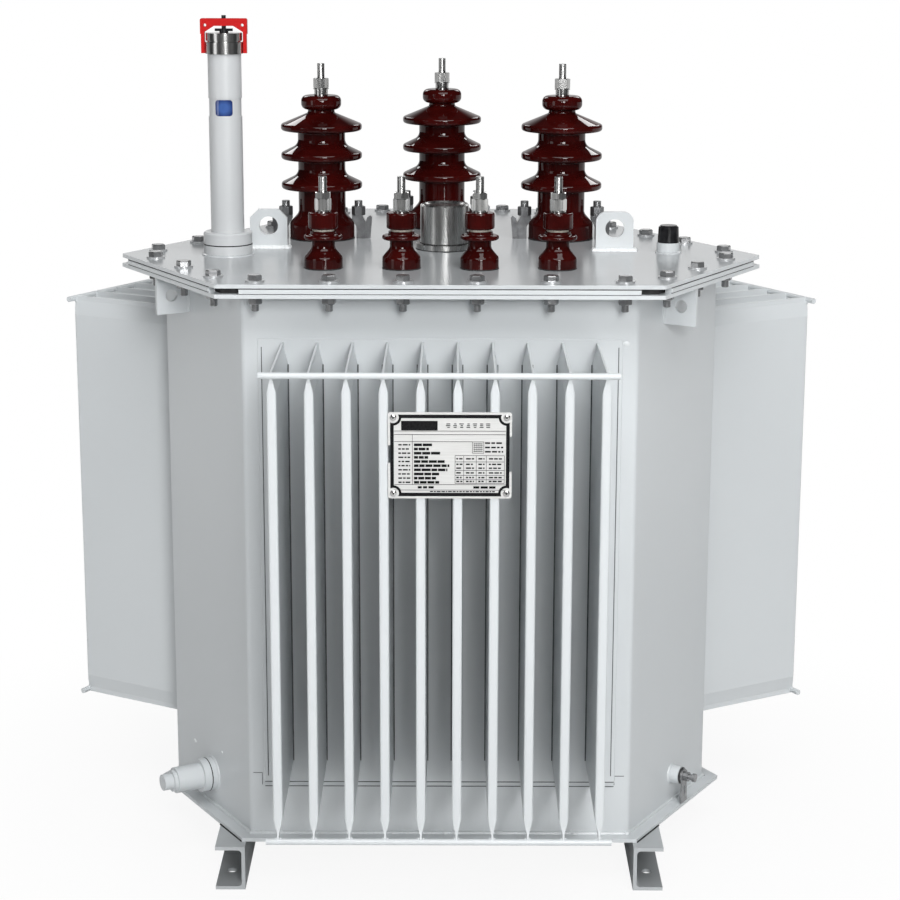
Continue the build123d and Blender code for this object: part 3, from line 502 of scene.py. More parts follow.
def smooth_step(tree, value, low, high):
    """Rises smoothly from zero to one between two values."""
    made = tree.nodes.new("ShaderNodeMapRange")
    made.interpolation_type = "SMOOTHSTEP"
    made.inputs["From Min"].default_value = low
    made.inputs["From Max"].default_value = high
    tree.links.new(value, made.inputs["Value"])
    return made.outputs["Result"]


def bump(tree, shader, height, strength, distance):
    """Fine relief on the surface."""
    made = tree.nodes.new("ShaderNodeBump")
    made.inputs["Strength"].default_value = strength
    made.inputs["Distance"].default_value = distance
    tree.links.new(height, made.inputs["Height"])
    tree.links.new(made.outputs["Normal"], shader.inputs["Normal"])


def split(tree, vector):
    """The X, Y and Z parts of a vector."""
    made = tree.nodes.new("ShaderNodeSeparateXYZ")
    tree.links.new(vector, made.inputs["Vector"])
    return made.outputs


def facing(tree):
    """Parts of the direction that the surface faces."""
    return split(tree, tree.nodes.new("ShaderNodeNewGeometry").outputs["Normal"])


def finish_paint(tree, shader, point, shade, rough, peel):
    """Shade, uneven gloss and orange peel of sprayed paint."""
    tree.links.new(shade, shader.inputs["Base Color"])
    tree.links.new(spread(tree, noise(tree, point, GLOSS_GRAIN), *rough), shader.inputs["Roughness"])
    bump(tree, shader, noise(tree, point, PEEL_GRAIN, SOFT_DETAIL), peel, PEEL_DEPTH)


def painted(name, low_colour, high_colour, rough, peel, specular=PLAIN_SPECULAR):
    """Sprayed paint with a cloudy shade."""
    material, tree, shader = new_material(name)
    shader.inputs["Specular IOR Level"].default_value = specular
    point = object_point(tree)
    shade = ramp(tree, noise(tree, point, CLOUD_GRAIN, SOFT_DETAIL), low_colour, high_colour, *CLOUD_RANGE)
    finish_paint(tree, shader, point, shade, rough, peel)
    return material


def shaded_cover_coat(name, side_colour, shaded_top_colour, rough, peel):
    """Sprayed paint with painted shade: darker on the faces that look up."""
    material, tree, shader = new_material(name)
    point = object_point(tree)
    cloud = combine(tree, "MULTIPLY", noise(tree, point, CLOUD_GRAIN, SOFT_DETAIL), COVER_SHARES[0])
    upward_painted_shade = combine(tree, "MULTIPLY", facing(tree)["Z"], COVER_SHARES[1])
    shade = ramp(tree, combine(tree, "ADD", cloud, upward_painted_shade), side_colour, shaded_top_colour, *COVER_RANGE)
    finish_paint(tree, shader, point, shade, rough, peel)
    return material


def shaded_foot_coat(name, face_colour, shaded_colour, rough, peel):
    """Sprayed paint with painted shade: darker on the web faces and on the upward faces in the bottom of the
    channel.
    """
    material, tree, shader = new_material(name)
    point = object_point(tree)
    faces = facing(tree)
    web = combine(tree, "MULTIPLY", faces["X"], faces["X"])
    below = combine(tree, "SUBTRACT", 1.0, smooth_step(tree, split(tree, point)["Z"], *FOOT_SHADE_Z))
    floor = combine(tree, "MULTIPLY", combine(tree, "MAXIMUM", faces["Z"], 0.0), below)
    cloud = combine(tree, "MULTIPLY", noise(tree, point, FOOT_GRAIN, SOFT_DETAIL), FOOT_SHARES[0])
    painted_shade_share = combine(tree, "MULTIPLY", combine(tree, "MAXIMUM", web, floor), FOOT_SHARES[1])
    shade = ramp(tree, combine(tree, "ADD", cloud, painted_shade_share), face_colour, shaded_colour, *FOOT_RANGE)
    finish_paint(tree, shader, point, shade, rough, peel)
    return material


def metal(name, low_colour, high_colour, rough, stretch, grain, relief, metallic=1.0):
    """Metal with a grain stretched along one direction; a dull coat makes it less metallic."""
    material, tree, shader = new_material(name)
    shader.inputs["Metallic"].default_value = metallic
    point = object_point(tree, stretch)
    shade = ramp(tree, noise(tree, point, grain, *METAL_DETAIL), low_colour, high_colour)
    tree.links.new(shade, shader.inputs["Base Color"])
    gloss = noise(tree, point, grain * METAL_GLOSS_SHARE)
    tree.links.new(spread(tree, gloss, *rough), shader.inputs["Roughness"])
    bump(tree, shader, noise(tree, point, grain * METAL_RELIEF_SHARE, SOFT_DETAIL), relief, METAL_DEPTH)
    return material


def porcelain():
    """Dark glaze with slow waves that break its highlights."""
    material, tree, shader = new_material("brown_glaze")
    point = object_point(tree)
    shade = ramp(tree, noise(tree, point, *GLAZE_GRAIN), *GLAZE_COLOURS)
    tree.links.new(shade, shader.inputs["Base Color"])
    shader.inputs["Roughness"].default_value = GLAZE_ROUGH
    shader.inputs["Specular IOR Level"].default_value = 0.0
    shader.inputs["Coat Weight"].default_value, shader.inputs["Coat Roughness"].default_value = GLAZE_COAT
    bump(tree, shader, noise(tree, point, *GLAZE_WAVE_GRAIN), *GLAZE_WAVE)
    return material


def dull(name, low_colour, high_colour, rough, grain, relief, specular=PLAIN_SPECULAR):
    """Rubber or plastic with a fine grain."""
    material, tree, shader = new_material(name)
    shader.inputs["Specular IOR Level"].default_value = specular
    point = object_point(tree)
    shade = ramp(tree, noise(tree, point, grain), low_colour, high_colour)
    tree.links.new(shade, shader.inputs["Base Color"])
    gloss = noise(tree, point, grain * DULL_GLOSS_SHARE)
    rough_range = (rough - DULL_ROUGH_SPARE, rough + DULL_ROUGH_SPARE)
    tree.links.new(spread(tree, gloss, *rough_range), shader.inputs["Roughness"])
    bump(tree, shader, noise(tree, point, grain * DULL_RELIEF_SHARE), relief, DULL_DEPTH)
    return material


def sight_glass():
    """Blue pane with painted light, deeper at its rim than in its middle, in place of light through the
    glass.
    """
    material, tree, shader = new_material("blue_sight_glass")
    low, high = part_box("gauge_window")
    coordinate = tree.nodes.new("ShaderNodeTexCoord")
    mapping = tree.nodes.new("ShaderNodeMapping")
    mapping.vector_type = "TEXTURE"
    mapping.inputs["Location"].default_value = (low + high) / 2
    reach = (high - low) * PANE_SPREAD
    mapping.inputs["Scale"].default_value = (reach.x, 1.0, reach.z)
    tree.links.new(coordinate.outputs["Object"], mapping.inputs["Vector"])
    pane_light_fall = tree.nodes.new("ShaderNodeTexGradient")
    pane_light_fall.gradient_type = "SPHERICAL"
    tree.links.new(mapping.outputs["Vector"], pane_light_fall.inputs["Vector"])
    shade = ramp(tree, pane_light_fall.outputs["Fac"], *PANE_COLOURS, *PANE_RANGE)
    tree.links.new(shade, shader.inputs["Base Color"])
    shader.inputs["Roughness"].default_value = PANE_ROUGH
    shader.inputs["Coat Weight"].default_value, shader.inputs["Coat Roughness"].default_value = PANE_COAT
    bump(tree, shader, noise(tree, object_point(tree), PANE_GRAIN), *PANE_RELIEF)
    return material


# Grain of metal: stretch (even, round a turned part, along a rolled sheet), noise scale, relief
PLATED = ((1.0, 1.0, 1.0), 70.0, 0.05)
TURNED = ((1.0, 1.0, 0.015), 210.0, 0.08)
ROLLED = ((0.04, 1.0, 1.0), 500.0, 0.06)

wall_paint = painted("grey_wall_paint", (0.582, 0.609, 0.624), (0.598, 0.625, 0.639), (0.27, 0.32), 0.08)
# Cover paint with painted shade on its top
cover_paint = shaded_cover_coat("grey_cover_paint", (0.58, 0.605, 0.62), (0.375, 0.394, 0.405), (0.17, 0.22), 0.05)
# Foot paint with painted shade on its webs and low in its channel
shaded_foot_paint = shaded_foot_coat("grey_foot_paint", (0.44, 0.46, 0.47), (0.26, 0.273, 0.28), (0.34, 0.42), 0.10)
white_paint = painted("pale_tube_paint", (0.50, 0.515, 0.525), (0.53, 0.545, 0.555), (0.26, 0.36), 0.06)
red_paint = painted("red_yoke_paint", (0.42, 0.010, 0.010), (0.48, 0.014, 0.014), (0.34, 0.44), 0.06,
                    specular=0.08)
# Lighter paint on weld marks: a painted highlight
highlight_paint = painted("weld_spot_paint", (0.70, 0.73, 0.74), (0.78, 0.80, 0.81), (0.20, 0.32), 0.10)
glaze = porcelain()
zinc = metal("zinc_plating", (0.22, 0.223, 0.228), (0.36, 0.364, 0.37), (0.17, 0.27), *PLATED, metallic=0.72)
# Paler copy of the zinc for the washers: a painted highlight
highlit_zinc = metal("highlit_zinc", (0.46, 0.47, 0.48), (0.58, 0.59, 0.60), (0.28, 0.38), *PLATED, metallic=0.5)
dark_zinc = metal("dark_zinc", (0.11, 0.112, 0.116), (0.19, 0.194, 0.2), (0.26, 0.36), *PLATED, metallic=0.5)
brushed = metal("brushed_stainless", (0.38, 0.38, 0.375), (0.54, 0.54, 0.535), (0.24, 0.32), *TURNED)
stainless = metal("turned_stainless", (0.42, 0.42, 0.415), (0.66, 0.66, 0.65), (0.14, 0.26), *TURNED)
plate_metal = metal("plate_metal", (0.57, 0.57, 0.56), (0.63, 0.63, 0.62), (0.34, 0.48), *ROLLED,
                    metallic=0.2)
rubber = dull("gasket_rubber", (0.010, 0.010, 0.011), (0.026, 0.026, 0.027), 0.68, 160.0, 0.25)
pale_seal = dull("pale_seal", (0.36, 0.33, 0.28), (0.48, 0.45, 0.40), 0.60, 220.0, 0.2)
black_plastic = dull("black_plastic", (0.008, 0.008, 0.009), (0.018, 0.018, 0.020), 0.22, 120.0, 0.05,
                     specular=0.22)
ink = dull("plate_ink", (0.004, 0.004, 0.0045), (0.010, 0.010, 0.011), 0.60, 400.0, 0.1, specular=0.1)
# Dark colour for the painted shade in seams and beside the fin roots
painted_gap_shade = dull("painted_gap_shade", (0.045, 0.050, 0.054), (0.10, 0.11, 0.115), 0.7, 90.0, 0.2)
blue_glass = sight_glass()

SLOT_MATERIALS = {
    "grey_paint": wall_paint,
    "gasket_rubber": rubber,
    "brown_porcelain": glaze,
    "gasket_pale": pale_seal,
    "bright_steel": stainless,
    "zinc": zinc,
    "blue_window": blue_glass,
    "red_paint": red_paint,
    "black_plastic": black_plastic,
    "plate_metal": plate_metal,
}
NODE_MATERIALS = {
    "hv_clamps": dark_zinc,
    "relief_cap": brushed,
    "relief_ring": brushed,
    "left_foot": shaded_foot_paint,
    "right_foot": shaded_foot_paint,
    "cover_plate": cover_paint,
    "gauge_tube": white_paint,
    "gauge_base": white_paint,
}


def dress_frame():
    """Gives each node of the frame the material of its slot."""
    slots = {row["node"]: row["material_slot"] for row in frame["record"]["subparts"]}
    for name, node in frame["nodes"].items():
        material = NODE_MATERIALS.get(name, SLOT_MATERIALS[slots[name]])
        if not node.material_slots:
            node.data.materials.append(material)
        for holder in node.material_slots:
            holder.material = material


# Cover bolts

def bolt_parts(place, head_z, nut_z):
    """Head and washer above the joint, washer, nut and bolt end under it."""
    turn = Matrix.Translation(place) @ Matrix.Rotation(random.uniform(0.0, math.tau), 4, "Z")
    washer = [(0.0, 0.0), (WASHER_R, 0.0), (WASHER_R, WASHER_T), (0.0, WASHER_T)]
    washers = [turned([(r, head_z + z) for r, z in washer], WASHER_STEPS)]
    head = hexagon_part(HEAD_ACROSS, head_z + WASHER_T, HEAD_HEIGHT, 0.0, HEX_BEVEL)
    washers.append(turned([(r, nut_z - z) for r, z in reversed(washer)], WASHER_STEPS))
    nut_low = nut_z - WASHER_T - NUT_HEIGHT
    nut = hexagon_part(NUT_ACROSS, nut_low, NUT_HEIGHT, HEX_BEVEL, 0.0)
    end_low = nut_low - BOLT_END
    bevel = THREAD_DEPTH * 3
    end = turned([(0.0, end_low), (BOLT_R - bevel, end_low), (BOLT_R, end_low + bevel), (BOLT_R, nut_low),
                  (0.0, nut_low)], BOLT_STEPS)
    return [moved(part, turn) for part in (head, nut, end)], [moved(part, turn) for part in washers]


def cover_bolts():
    """A row of bolts along each of the six sides."""
    low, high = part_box("cover_plate")
    nut_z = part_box("tank_rim")[0].z
    long_rows = ("front_cover", "rear_right_cover", "rear_left_cover"), low.y + BOLT_INSET, LONG_SIDE_BOLTS
    short_rows = (("rear_short_side", "front_left_short_side", "front_right_short_side"), high.y - BOLT_INSET,
                  SHORT_SIDE_BOLTS)
    for names, y, row in (long_rows, short_rows):
        for index, name in enumerate(names):
            bolts, washers = [], []
            for x in row:
                made = bolt_parts(side_turn(index) @ Vector((x, y, 0.0)), high.z, nut_z)
                bolts += made[0]
                washers += made[1]
            piece(name + "_bolts", bolts, zinc)
            # Washers in the paler zinc: a painted highlight
            piece(name + "_washers", washers, highlit_zinc)


# Weld beads

def bead(corners, radius, closed):
    """Rippled bead along straight runs between corners."""
    points = []
    runs = list(zip(corners, corners[1:] + corners[:1])) if closed else list(zip(corners, corners[1:]))
    for start, stop in runs:
        steps = max(2, round((stop - start).length / BEAD_STEP))
        points += [start.lerp(stop, k / steps) for k in range(steps)]
    if not closed:
        points.append(corners[-1])
    phase = random.uniform(0.0, math.tau)
    radii = []
    for k in range(len(points)):
        wave = BEAD_WAVE_SHARE * math.sin(math.tau * k * BEAD_STEP / BEAD_WAVE + phase)
        radii.append(radius * (1.0 + wave + random.uniform(-BEAD_UNEVEN_SHARE, BEAD_UNEVEN_SHARE)))
    return tube_part(points, radii, BEAD_SIDES, closed)


def ring_bead(middle, axis, ring_radius, radius):
    """Rippled bead round a round fitting."""
    side = axis.orthogonal().normalized()
    other = axis.cross(side)
    count = max(RING_LEAST_STEPS, round(math.tau * ring_radius / BEAD_STEP))
    circle = []
    for k in range(count):
        angle = math.tau * k / count
        circle.append(middle + (side * math.cos(angle) + other * math.sin(angle)) * ring_radius)
    radii = []
    for k in range(count):
        wave = RING_WAVE_SHARE * math.sin(k * RING_WAVE_TURN)
        radii.append(radius * (1.0 + wave + random.uniform(-BEAD_UNEVEN_SHARE, BEAD_UNEVEN_SHARE)))
    return tube_part(circle, radii, BEAD_SIDES, True)


def rectangle(first, second):
    """The four corners of a rectangle, in order, from two of them."""
    return first, (second[0], first[1]), second, (first[0], second[1])


def foot_bead(node, radius, grow):
    """Bead round the foot of an upright plate that stands on the cover."""
    low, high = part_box(node)
    foot = rectangle((low.x - grow, low.y - grow), (high.x + grow, high.y + grow))
    return bead([Vector((x, y, low.z)) for x, y in foot], radius, True)


def round_foot_bead(node, radius):
    """Bead round the foot of an upright round fitting."""
    low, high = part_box(node)
    return ring_bead(middle_of(node) + UP * low.z, UP, (high.x - low.x) / 2, radius)


def weld_beads():
    """Beads on the tank, the fin panels and the fittings."""
    shell_low, shell_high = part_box("tank_shell")
    long_apothem, short_apothem = -shell_low.y, shell_high.y
    for name, z in (("tank_bottom_weld", shell_low.z), ("tank_top_weld", shell_high.z)):
        corners = outline_corners(long_apothem, short_apothem, z)
        piece(name, [bead(corners, SHELL_BEAD_R, True)], wall_paint)
    panel_low, panel_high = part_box("front_fin_bank")
    panel = rectangle((panel_low.x, panel_low.z), (panel_high.x, panel_high.z))
    corners = [Vector((x, -long_apothem, z)) for x, z in panel]
    for index, name in enumerate(LONG_SIDES):
        turn = side_turn(index)
        part = bead([turn @ corner for corner in corners], PANEL_BEAD_R, True)
        piece(name + "_panel_weld", [part], wall_paint)
    lugs = [foot_bead(side + "_cover_lug", FITTING_BEAD_R, FITTING_BEAD_OUT) for side in ("left", "right")]
    # Lug welds in the lighter paint: a painted highlight
    piece("cover_lug_welds", lugs, highlight_paint)
    rounds = [round_foot_bead(node, SMALL_BEAD_R) for node in ("gauge_base", "thermometer_boss")]
    piece("cover_boss_welds", rounds, cover_paint)


# Painted shade in seams and joints, and weld marks

def wall_strip(start, stop, width, y):
    """Thin strip on the front wall between two (x, z) points, level or upright."""
    half = width / 2
    low = (min(start[0], stop[0]) - half, y - SEAM_T, min(start[1], stop[1]) - half)
    high = (max(start[0], stop[0]) + half, y, max(start[1], stop[1]) + half)
    return box_part(low, high)


def fin_places():
    """Places of the fins along a side."""
    return [FIN_PITCH * (index - (FIN_COUNT - 1) / 2) for index in range(FIN_COUNT)]


def wall_shade_lines():
    """Dark strips of painted shade in the folds of the fin panel and the lower strip of the wall, and painted
    shadow beside the fin roots.
    """
    wall_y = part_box("tank_shell")[0].y
    panel_low, panel_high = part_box("front_fin_bank")
    panel_y = wall_y - PANEL_T
    for index, name in enumerate(LONG_SIDES):
        parts = []
        for x in (-PANEL_SEAM_X, PANEL_SEAM_X):
            parts.append(wall_strip((x, PANEL_SEAM_Z[0]), (x, PANEL_SEAM_Z[1]), SEAM_WIDTH, panel_y))
        for corners in WALL_SEAMS:
            parts += [wall_strip(a, b, CORNER_SEAM_WIDTH, wall_y) for a, b in zip(corners, corners[1:])]
        for z, y in ((panel_low.z + PANEL_LINE_RISE, panel_y), (panel_low.z - WALL_LINE_DROP, wall_y)):
            parts.append(wall_strip((panel_low.x, z), (panel_high.x, z), SEAM_WIDTH, y))
        for x in fin_places():
            for side in (-1.0, 1.0):
                at = x + side * (FIN_HALF + ROOT_SHADE_WIDTH / 2)
                parts.append(wall_strip((at, ROOT_SHADE_Z[0]), (at, ROOT_SHADE_Z[1]), ROOT_SHADE_WIDTH, panel_y))
        turn = side_turn(index)
        piece(name + "_wall_shade_lines", [moved(part, turn) for part in parts], painted_gap_shade)


def rim_joint_shadows():
    """Painted shadow: dark lines in the rubber colour above and below the bars that fill the joint under the
    cover.
    """
    low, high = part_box("cover_plate")
    rim_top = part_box("tank_rim")[1].z
    long_side, short_side = side_lengths(-low.y, high.y)
    parts = []
    for index in range(3):
        turn = side_turn(index)
        for half, sign, edge in ((long_side / 2 - LONG_JOINT_INSET, -1.0, -low.y),
                                 (short_side / 2 - SHORT_JOINT_INSET, 1.0, high.y)):
            outer, inner = sign * (edge - JOINT_SETBACK), sign * (edge - JOINT_DEPTH)
            near, far = min(outer, inner), max(outer, inner)
            for z in (low.z - JOINT_T, rim_top):
                parts.append(moved(box_part((-half, near, z), (half, far, z + JOINT_T)), turn))
    piece("rim_joint_shadows", parts, rubber)


def foot_joint_shadows():
    """Painted shadow: dark line in the rubber colour where the edge of the base plate crosses each foot."""
    low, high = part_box("base_plate")
    corners = outline_corners(-low.y, high.y, low.z)
    parts = []
    for foot, first, second in (("left_foot", corners[0], corners[-1]),
                                ("right_foot", corners[1], corners[2])):
        foot_low, foot_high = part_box(foot)
        edge = foot_low.x if first.x < 0.0 else foot_high.x
        stop = first.lerp(second, (edge - first.x) / (second.x - first.x))
        parts.append(tube_part([first, stop], [FOOT_JOINT_R, FOOT_JOINT_R], BEAD_SIDES, False))
    piece("foot_joint_shadows", parts, rubber)


def blob(middle, radius):
    """Small round weld mark."""
    steps = [math.pi * (k / BLOB_RINGS - 0.5) for k in range(BLOB_RINGS + 1)]
    ball = turned([(max(0.0, radius * math.cos(a)), radius * math.sin(a)) for a in steps], BLOB_STEPS)
    return moved(ball, Matrix.Translation(middle))


def tie_bar_welds():
    """Weld marks where the tie bars cross the fins."""
    bar_low, bar_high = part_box("front_tie_bars")
    middle_y = (bar_low.y + bar_high.y) / 2
    rear_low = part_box("rear_right_tie_bars")[0]
    for index, name in enumerate(LONG_SIDES):
        low_z = bar_low.z if index == 0 else rear_low.z
        parts = []
        for x in fin_places():
            for z, side in ((low_z + TIE_BAR_R, 1.0), (bar_high.z - TIE_BAR_R, -1.0)):
                for aside in (-BLOB_ASIDE, BLOB_ASIDE):
                    shift = random.uniform(-BLOB_SHIFT, BLOB_SHIFT)
                    spot = Vector((x + aside + shift, middle_y + TIE_BAR_R * BLOB_BEHIND_SHARE,
                                   z + side * TIE_BAR_R * BLOB_ASTRIDE_SHARE))
                    parts.append(blob(spot, BLOB_R * random.uniform(*BLOB_SIZES)))
        turn = side_turn(index)
        piece(name + "_tie_bar_welds", [moved(part, turn) for part in parts], wall_paint)


def weld_spots():
    """Flattened weld marks on the front wall and the short sides, in a lighter paint that is a painted
    highlight.
    """
    wall_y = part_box("tank_shell")[0].y
    parts = []
    for x, z, radius in SPOTS:
        flat = Matrix.Translation(Vector((x, wall_y, z))) @ Matrix.Diagonal(WALL_SPOT_SHAPE)
        parts.append(moved(blob(ORIGIN, radius), flat))
    for index, along, z, radius in SIDE_SPOTS:
        flat = on_short_side(index, along, z) @ Matrix.Diagonal(SIDE_SPOT_SHAPE)
        parts.append(moved(blob(ORIGIN, radius), flat))
    piece("wall_weld_spots", parts, highlight_paint)


def bracket_welds():
    """Beads where the side brackets meet the wall and the rim."""
    wall_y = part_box("tank_shell")[1].y
    low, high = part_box("side_lifting_brackets")
    parts = []
    for index in range(3):
        turn = side_turn(index)
        for side in (-1.0, 1.0):
            x = BRACKET_OFFSET + side * BRACKET_T / 2
            ends = (low.z + BRACKET_WELD_LOW, high.z - BRACKET_WELD_HIGH)
            upright = [Vector((x, wall_y, z)) for z in ends]
            level = [Vector((x, wall_y + out, high.z)) for out in BRACKET_WELD_OUT]
            for line in (upright, level):
                parts.append(bead([turn @ point for point in line], BRACKET_BEAD_R, False))
    piece("bracket_welds", parts, wall_paint)


# Seals, fitting welds and threads

def seal_ring(low, high, inner, outer):
    """Rounded seal ring between two heights."""
    edge = (high - low) * SEAL_EDGE_SHARE
    profile = [(inner, low), (outer - edge, low), (outer, low + edge), (outer, high - edge)]
    return turned(profile + [(outer - edge, high), (inner, high)], SEAL_STEPS)


def seals_and_bosses():
    """Black rings under the gauge, the bushings, the relief, the drain and the cock, and two beads."""
    high_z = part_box("cover_plate")[1].z
    gauge = Matrix.Translation(middle_of("gauge_base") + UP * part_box("gauge_base")[0].z)
    piece("gauge_seal", [moved(seal_ring(*GAUGE_SEAL), gauge)], rubber)
    drain = on_short_side(1, 0.0, DRAIN_HEIGHT)
    piece("drain_seal", [moved(seal_ring(*DRAIN_SEAL), drain)], rubber)
    cock = on_short_side(2, COCK_ALONG, COCK_HEIGHT)
    piece("cock_seal", [moved(seal_ring(*COCK_SEAL), cock)], rubber)
    seats = [(middle_of(node), high_z, HV_SEAT_R) for node in HV_BUSHINGS]
    seats += [(place, high_z, LV_SEAT_R) for place in lv_places()]
    for node in ("relief_ring", "relief_cap"):
        low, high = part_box(node)
        seats.append((middle_of(node), low.z, (high.x - low.x) / 2 + SEAT_SPARE))
    rings = [moved(seal_ring(0.0, SEAT_T, 0.0, radius), Matrix.Translation(place + UP * z))
             for place, z, radius in seats]
    piece("seat_seals", rings, rubber)
    welds = [moved(ring_bead(ORIGIN, UP, DRAIN_BOSS_R, SMALL_BEAD_R), drain)]
    welds.append(moved(ring_bead(ORIGIN, UP, COCK_BOSS_R, SMALL_BEAD_R), cock))
    piece("side_boss_welds", welds, wall_paint)


def thread_part(radius, low, length):
    """Helical thread as a skin just outside a plain stud."""
    rows = round(length / THREAD_PITCH * THREAD_ROWS)
    verts, faces = [], []
    for row in range(rows + 1):
        z = low + length * row / rows
        for k in range(THREAD_TURN_STEPS):
            turn = (z / THREAD_PITCH + k / THREAD_TURN_STEPS) % 1.0
            crest = 1.0 - abs(turn * 2.0 - 1.0)
            reach = radius + THREAD_CLEARANCE + THREAD_DEPTH * crest
            angle = math.tau * k / THREAD_TURN_STEPS
            verts.append(Vector((reach * math.cos(angle), reach * math.sin(angle), z)))
    for row in range(rows):
        faces += band(row * THREAD_TURN_STEPS, (row + 1) * THREAD_TURN_STEPS, THREAD_TURN_STEPS)
    return verts, faces


def lv_places():
    """Places of the low-voltage bushings."""
    row = middle_of("lv_caps")
    return [row + Vector((LV_PITCH * (index - (LV_COUNT - 1) / 2), 0.0, 0.0)) for index in range(LV_COUNT)]


def stud_threads():
    """Threads on the terminal studs and the clamp studs."""
    top_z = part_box("cover_plate")[1].z
    reaches = [Vector((x, y, 0.0)) for x, y in ((CLAMP_REACH, 0.0), (0.0, CLAMP_REACH), (-CLAMP_REACH, 0.0))]
    bushings = [middle_of(node) for node in HV_BUSHINGS]
    clamps = [middle + reach for middle in bushings for reach in reaches]
    for places, (name, slot, top, length, radius) in zip((bushings, lv_places(), clamps), STUDS):
        part = thread_part(radius, top_z + top - length - THREAD_TOP_SPARE, length)
        parts = [moved(part, Matrix.Translation(place)) for place in places]
        piece(name, parts, SLOT_MATERIALS[slot])


# Rating plate

def screw_place(corner):
    """Middle of the screw in one plate corner, and the corner's inward signs seen from the front."""
    low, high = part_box("nameplate")
    left, top = corner
    right = 1.0 if left else -1.0
    down = -1.0 if top else 1.0
    x = (low.x if left else high.x) + right * PLATE_SCREW_INSET
    z = (high.z if top else low.z) + down * PLATE_SCREW_INSET
    return Vector((x, low.y, z)), right, down


def frame_loop(inset, radius):
    """Plate outline moved inward, going round each screw in a hollow arc."""
    loop = []
    aside = PLATE_SCREW_INSET - inset
    start = math.asin(max(-1.0, min(1.0, -aside / radius)))
    stop = math.pi / 2 - start
    for corner, swapped in zip(PLATE_CORNERS, (False, True, False, True)):
        middle, right, down = screw_place(corner)
        angles = [start + (stop - start) * k / PLATE_ARC_STEPS for k in range(PLATE_ARC_STEPS + 1)]
        for a in angles if swapped else reversed(angles):
            loop.append(middle + Vector((right * math.cos(a), 0.0, down * math.sin(a))) * radius)
    return loop


def plate_frame():
    """Raised dark frame between two loops."""
    lift = Vector((0.0, -PLATE_INK_T, 0.0))
    outer = frame_loop(PLATE_FRAME[0], PLATE_ARCS[0])
    inner = frame_loop(PLATE_FRAME[1], PLATE_ARCS[1])
    count = len(outer)
    verts = [v + lift for v in outer] + [v + lift for v in inner] + outer + inner
    faces = []
    for k in range(count):
        after = (k + 1) % count
        faces.append((k, after, count + after, count + k))
        faces.append((k, k + count * 2, after + count * 2, after))
        faces.append((count + k, count + after, count * 3 + after, count * 3 + k))
    return verts, faces


def plate_bar(left, top, right, bottom):
    """Flat raised bar between shares of the plate's width and height."""
    low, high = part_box("nameplate")
    width, height = high.x - low.x, high.z - low.z
    front = low.y - PLATE_INK_T
    return box_part((low.x + width * left, front, high.z - height * bottom),
                    (low.x + width * right, low.y, high.z - height * top))


def dash_row(left, right, middle, tall, gap):
    """Row of short bars of uneven length, in place of words."""
    parts = []
    at = left
    while at < right - gap:
        end = min(right, at + random.uniform(*DASH_LENGTHS) * tall)
        parts.append(plate_bar(at, middle - tall / 2, end, middle + tall / 2))
        at = end + gap
    return parts


def rule_across(left, right, at):
    """Level rule of the plate."""
    return plate_bar(left, at - ACROSS_HALF_SHARE, right, at + ACROSS_HALF_SHARE)


def rule_down(at, top, bottom):
    """Upright rule of the plate."""
    return plate_bar(at - DOWN_HALF_SHARE, top, at + DOWN_HALF_SHARE, bottom)


def plate_lines():
    """Frame, solid block, rules and table lines of the plate, and a small plain grid."""
    parts = [plate_frame(), plate_bar(*BLOCK_SHARES)]
    parts += [rule_across(left, right, at) for left, right, levels in RULE_SHARES for at in levels]
    parts.append(rule_down(*LEFT_RULE_SHARES))
    parts += [rule_down(at, *COLUMN_REACH_SHARES) for at in COLUMN_SHARES]
    (left, right), (top, bottom) = GRID_SIDE_SHARES, GRID_LEVEL_SHARES
    parts += [rule_down(at, *GRID_UPRIGHT_SHARES) for at in (left, right)]
    parts += [rule_across(left, right, at) for at in (top, bottom)]
    for step in range(1, GRID_CELLS):
        parts.append(rule_down(left + (right - left) * step / GRID_CELLS, *GRID_DOWN_SHARES))
        parts.append(rule_across(*GRID_ACROSS_SHARES, top + (bottom - top) * step / GRID_CELLS))
    return parts


def plate_dashes():
    """Rows of dashes where a plate carries its figures."""
    parts = []
    for mark in range(TITLE_MARKS):
        left = TITLE_LEFT_SHARE + TITLE_PITCH_SHARE * mark
        for level in TITLE_LEVEL_SHARES:
            trim = random.uniform(0.0, TITLE_TRIM_SHARE)
            parts.append(plate_bar(left + trim, level - TITLE_HALF_SHARE, left + TITLE_WIDTH_SHARE - trim / 2,
                                   level + TITLE_HALF_SHARE))
    value_left, *value_rights = LIST_VALUE_SHARES
    for row in range(LIST_ROWS):
        level = LIST_TOP_SHARE + LIST_PITCH_SHARE * row
        parts += dash_row(*LIST_NAME_SHARES, level, *SMALL_DASH)
        parts += dash_row(value_left, random.uniform(*value_rights), level, *LIST_DASH)
    for level in SIDE_LEVEL_SHARES:
        parts += dash_row(*SIDE_SHARES, level, *SIDE_DASH)
    for level in TABLE_LEVEL_SHARES:
        for cell in TABLE_CELL_SHARES:
            parts += dash_row(*cell, level, *SMALL_DASH)
    for row in END_DASHES:
        parts += dash_row(*row)
    return parts


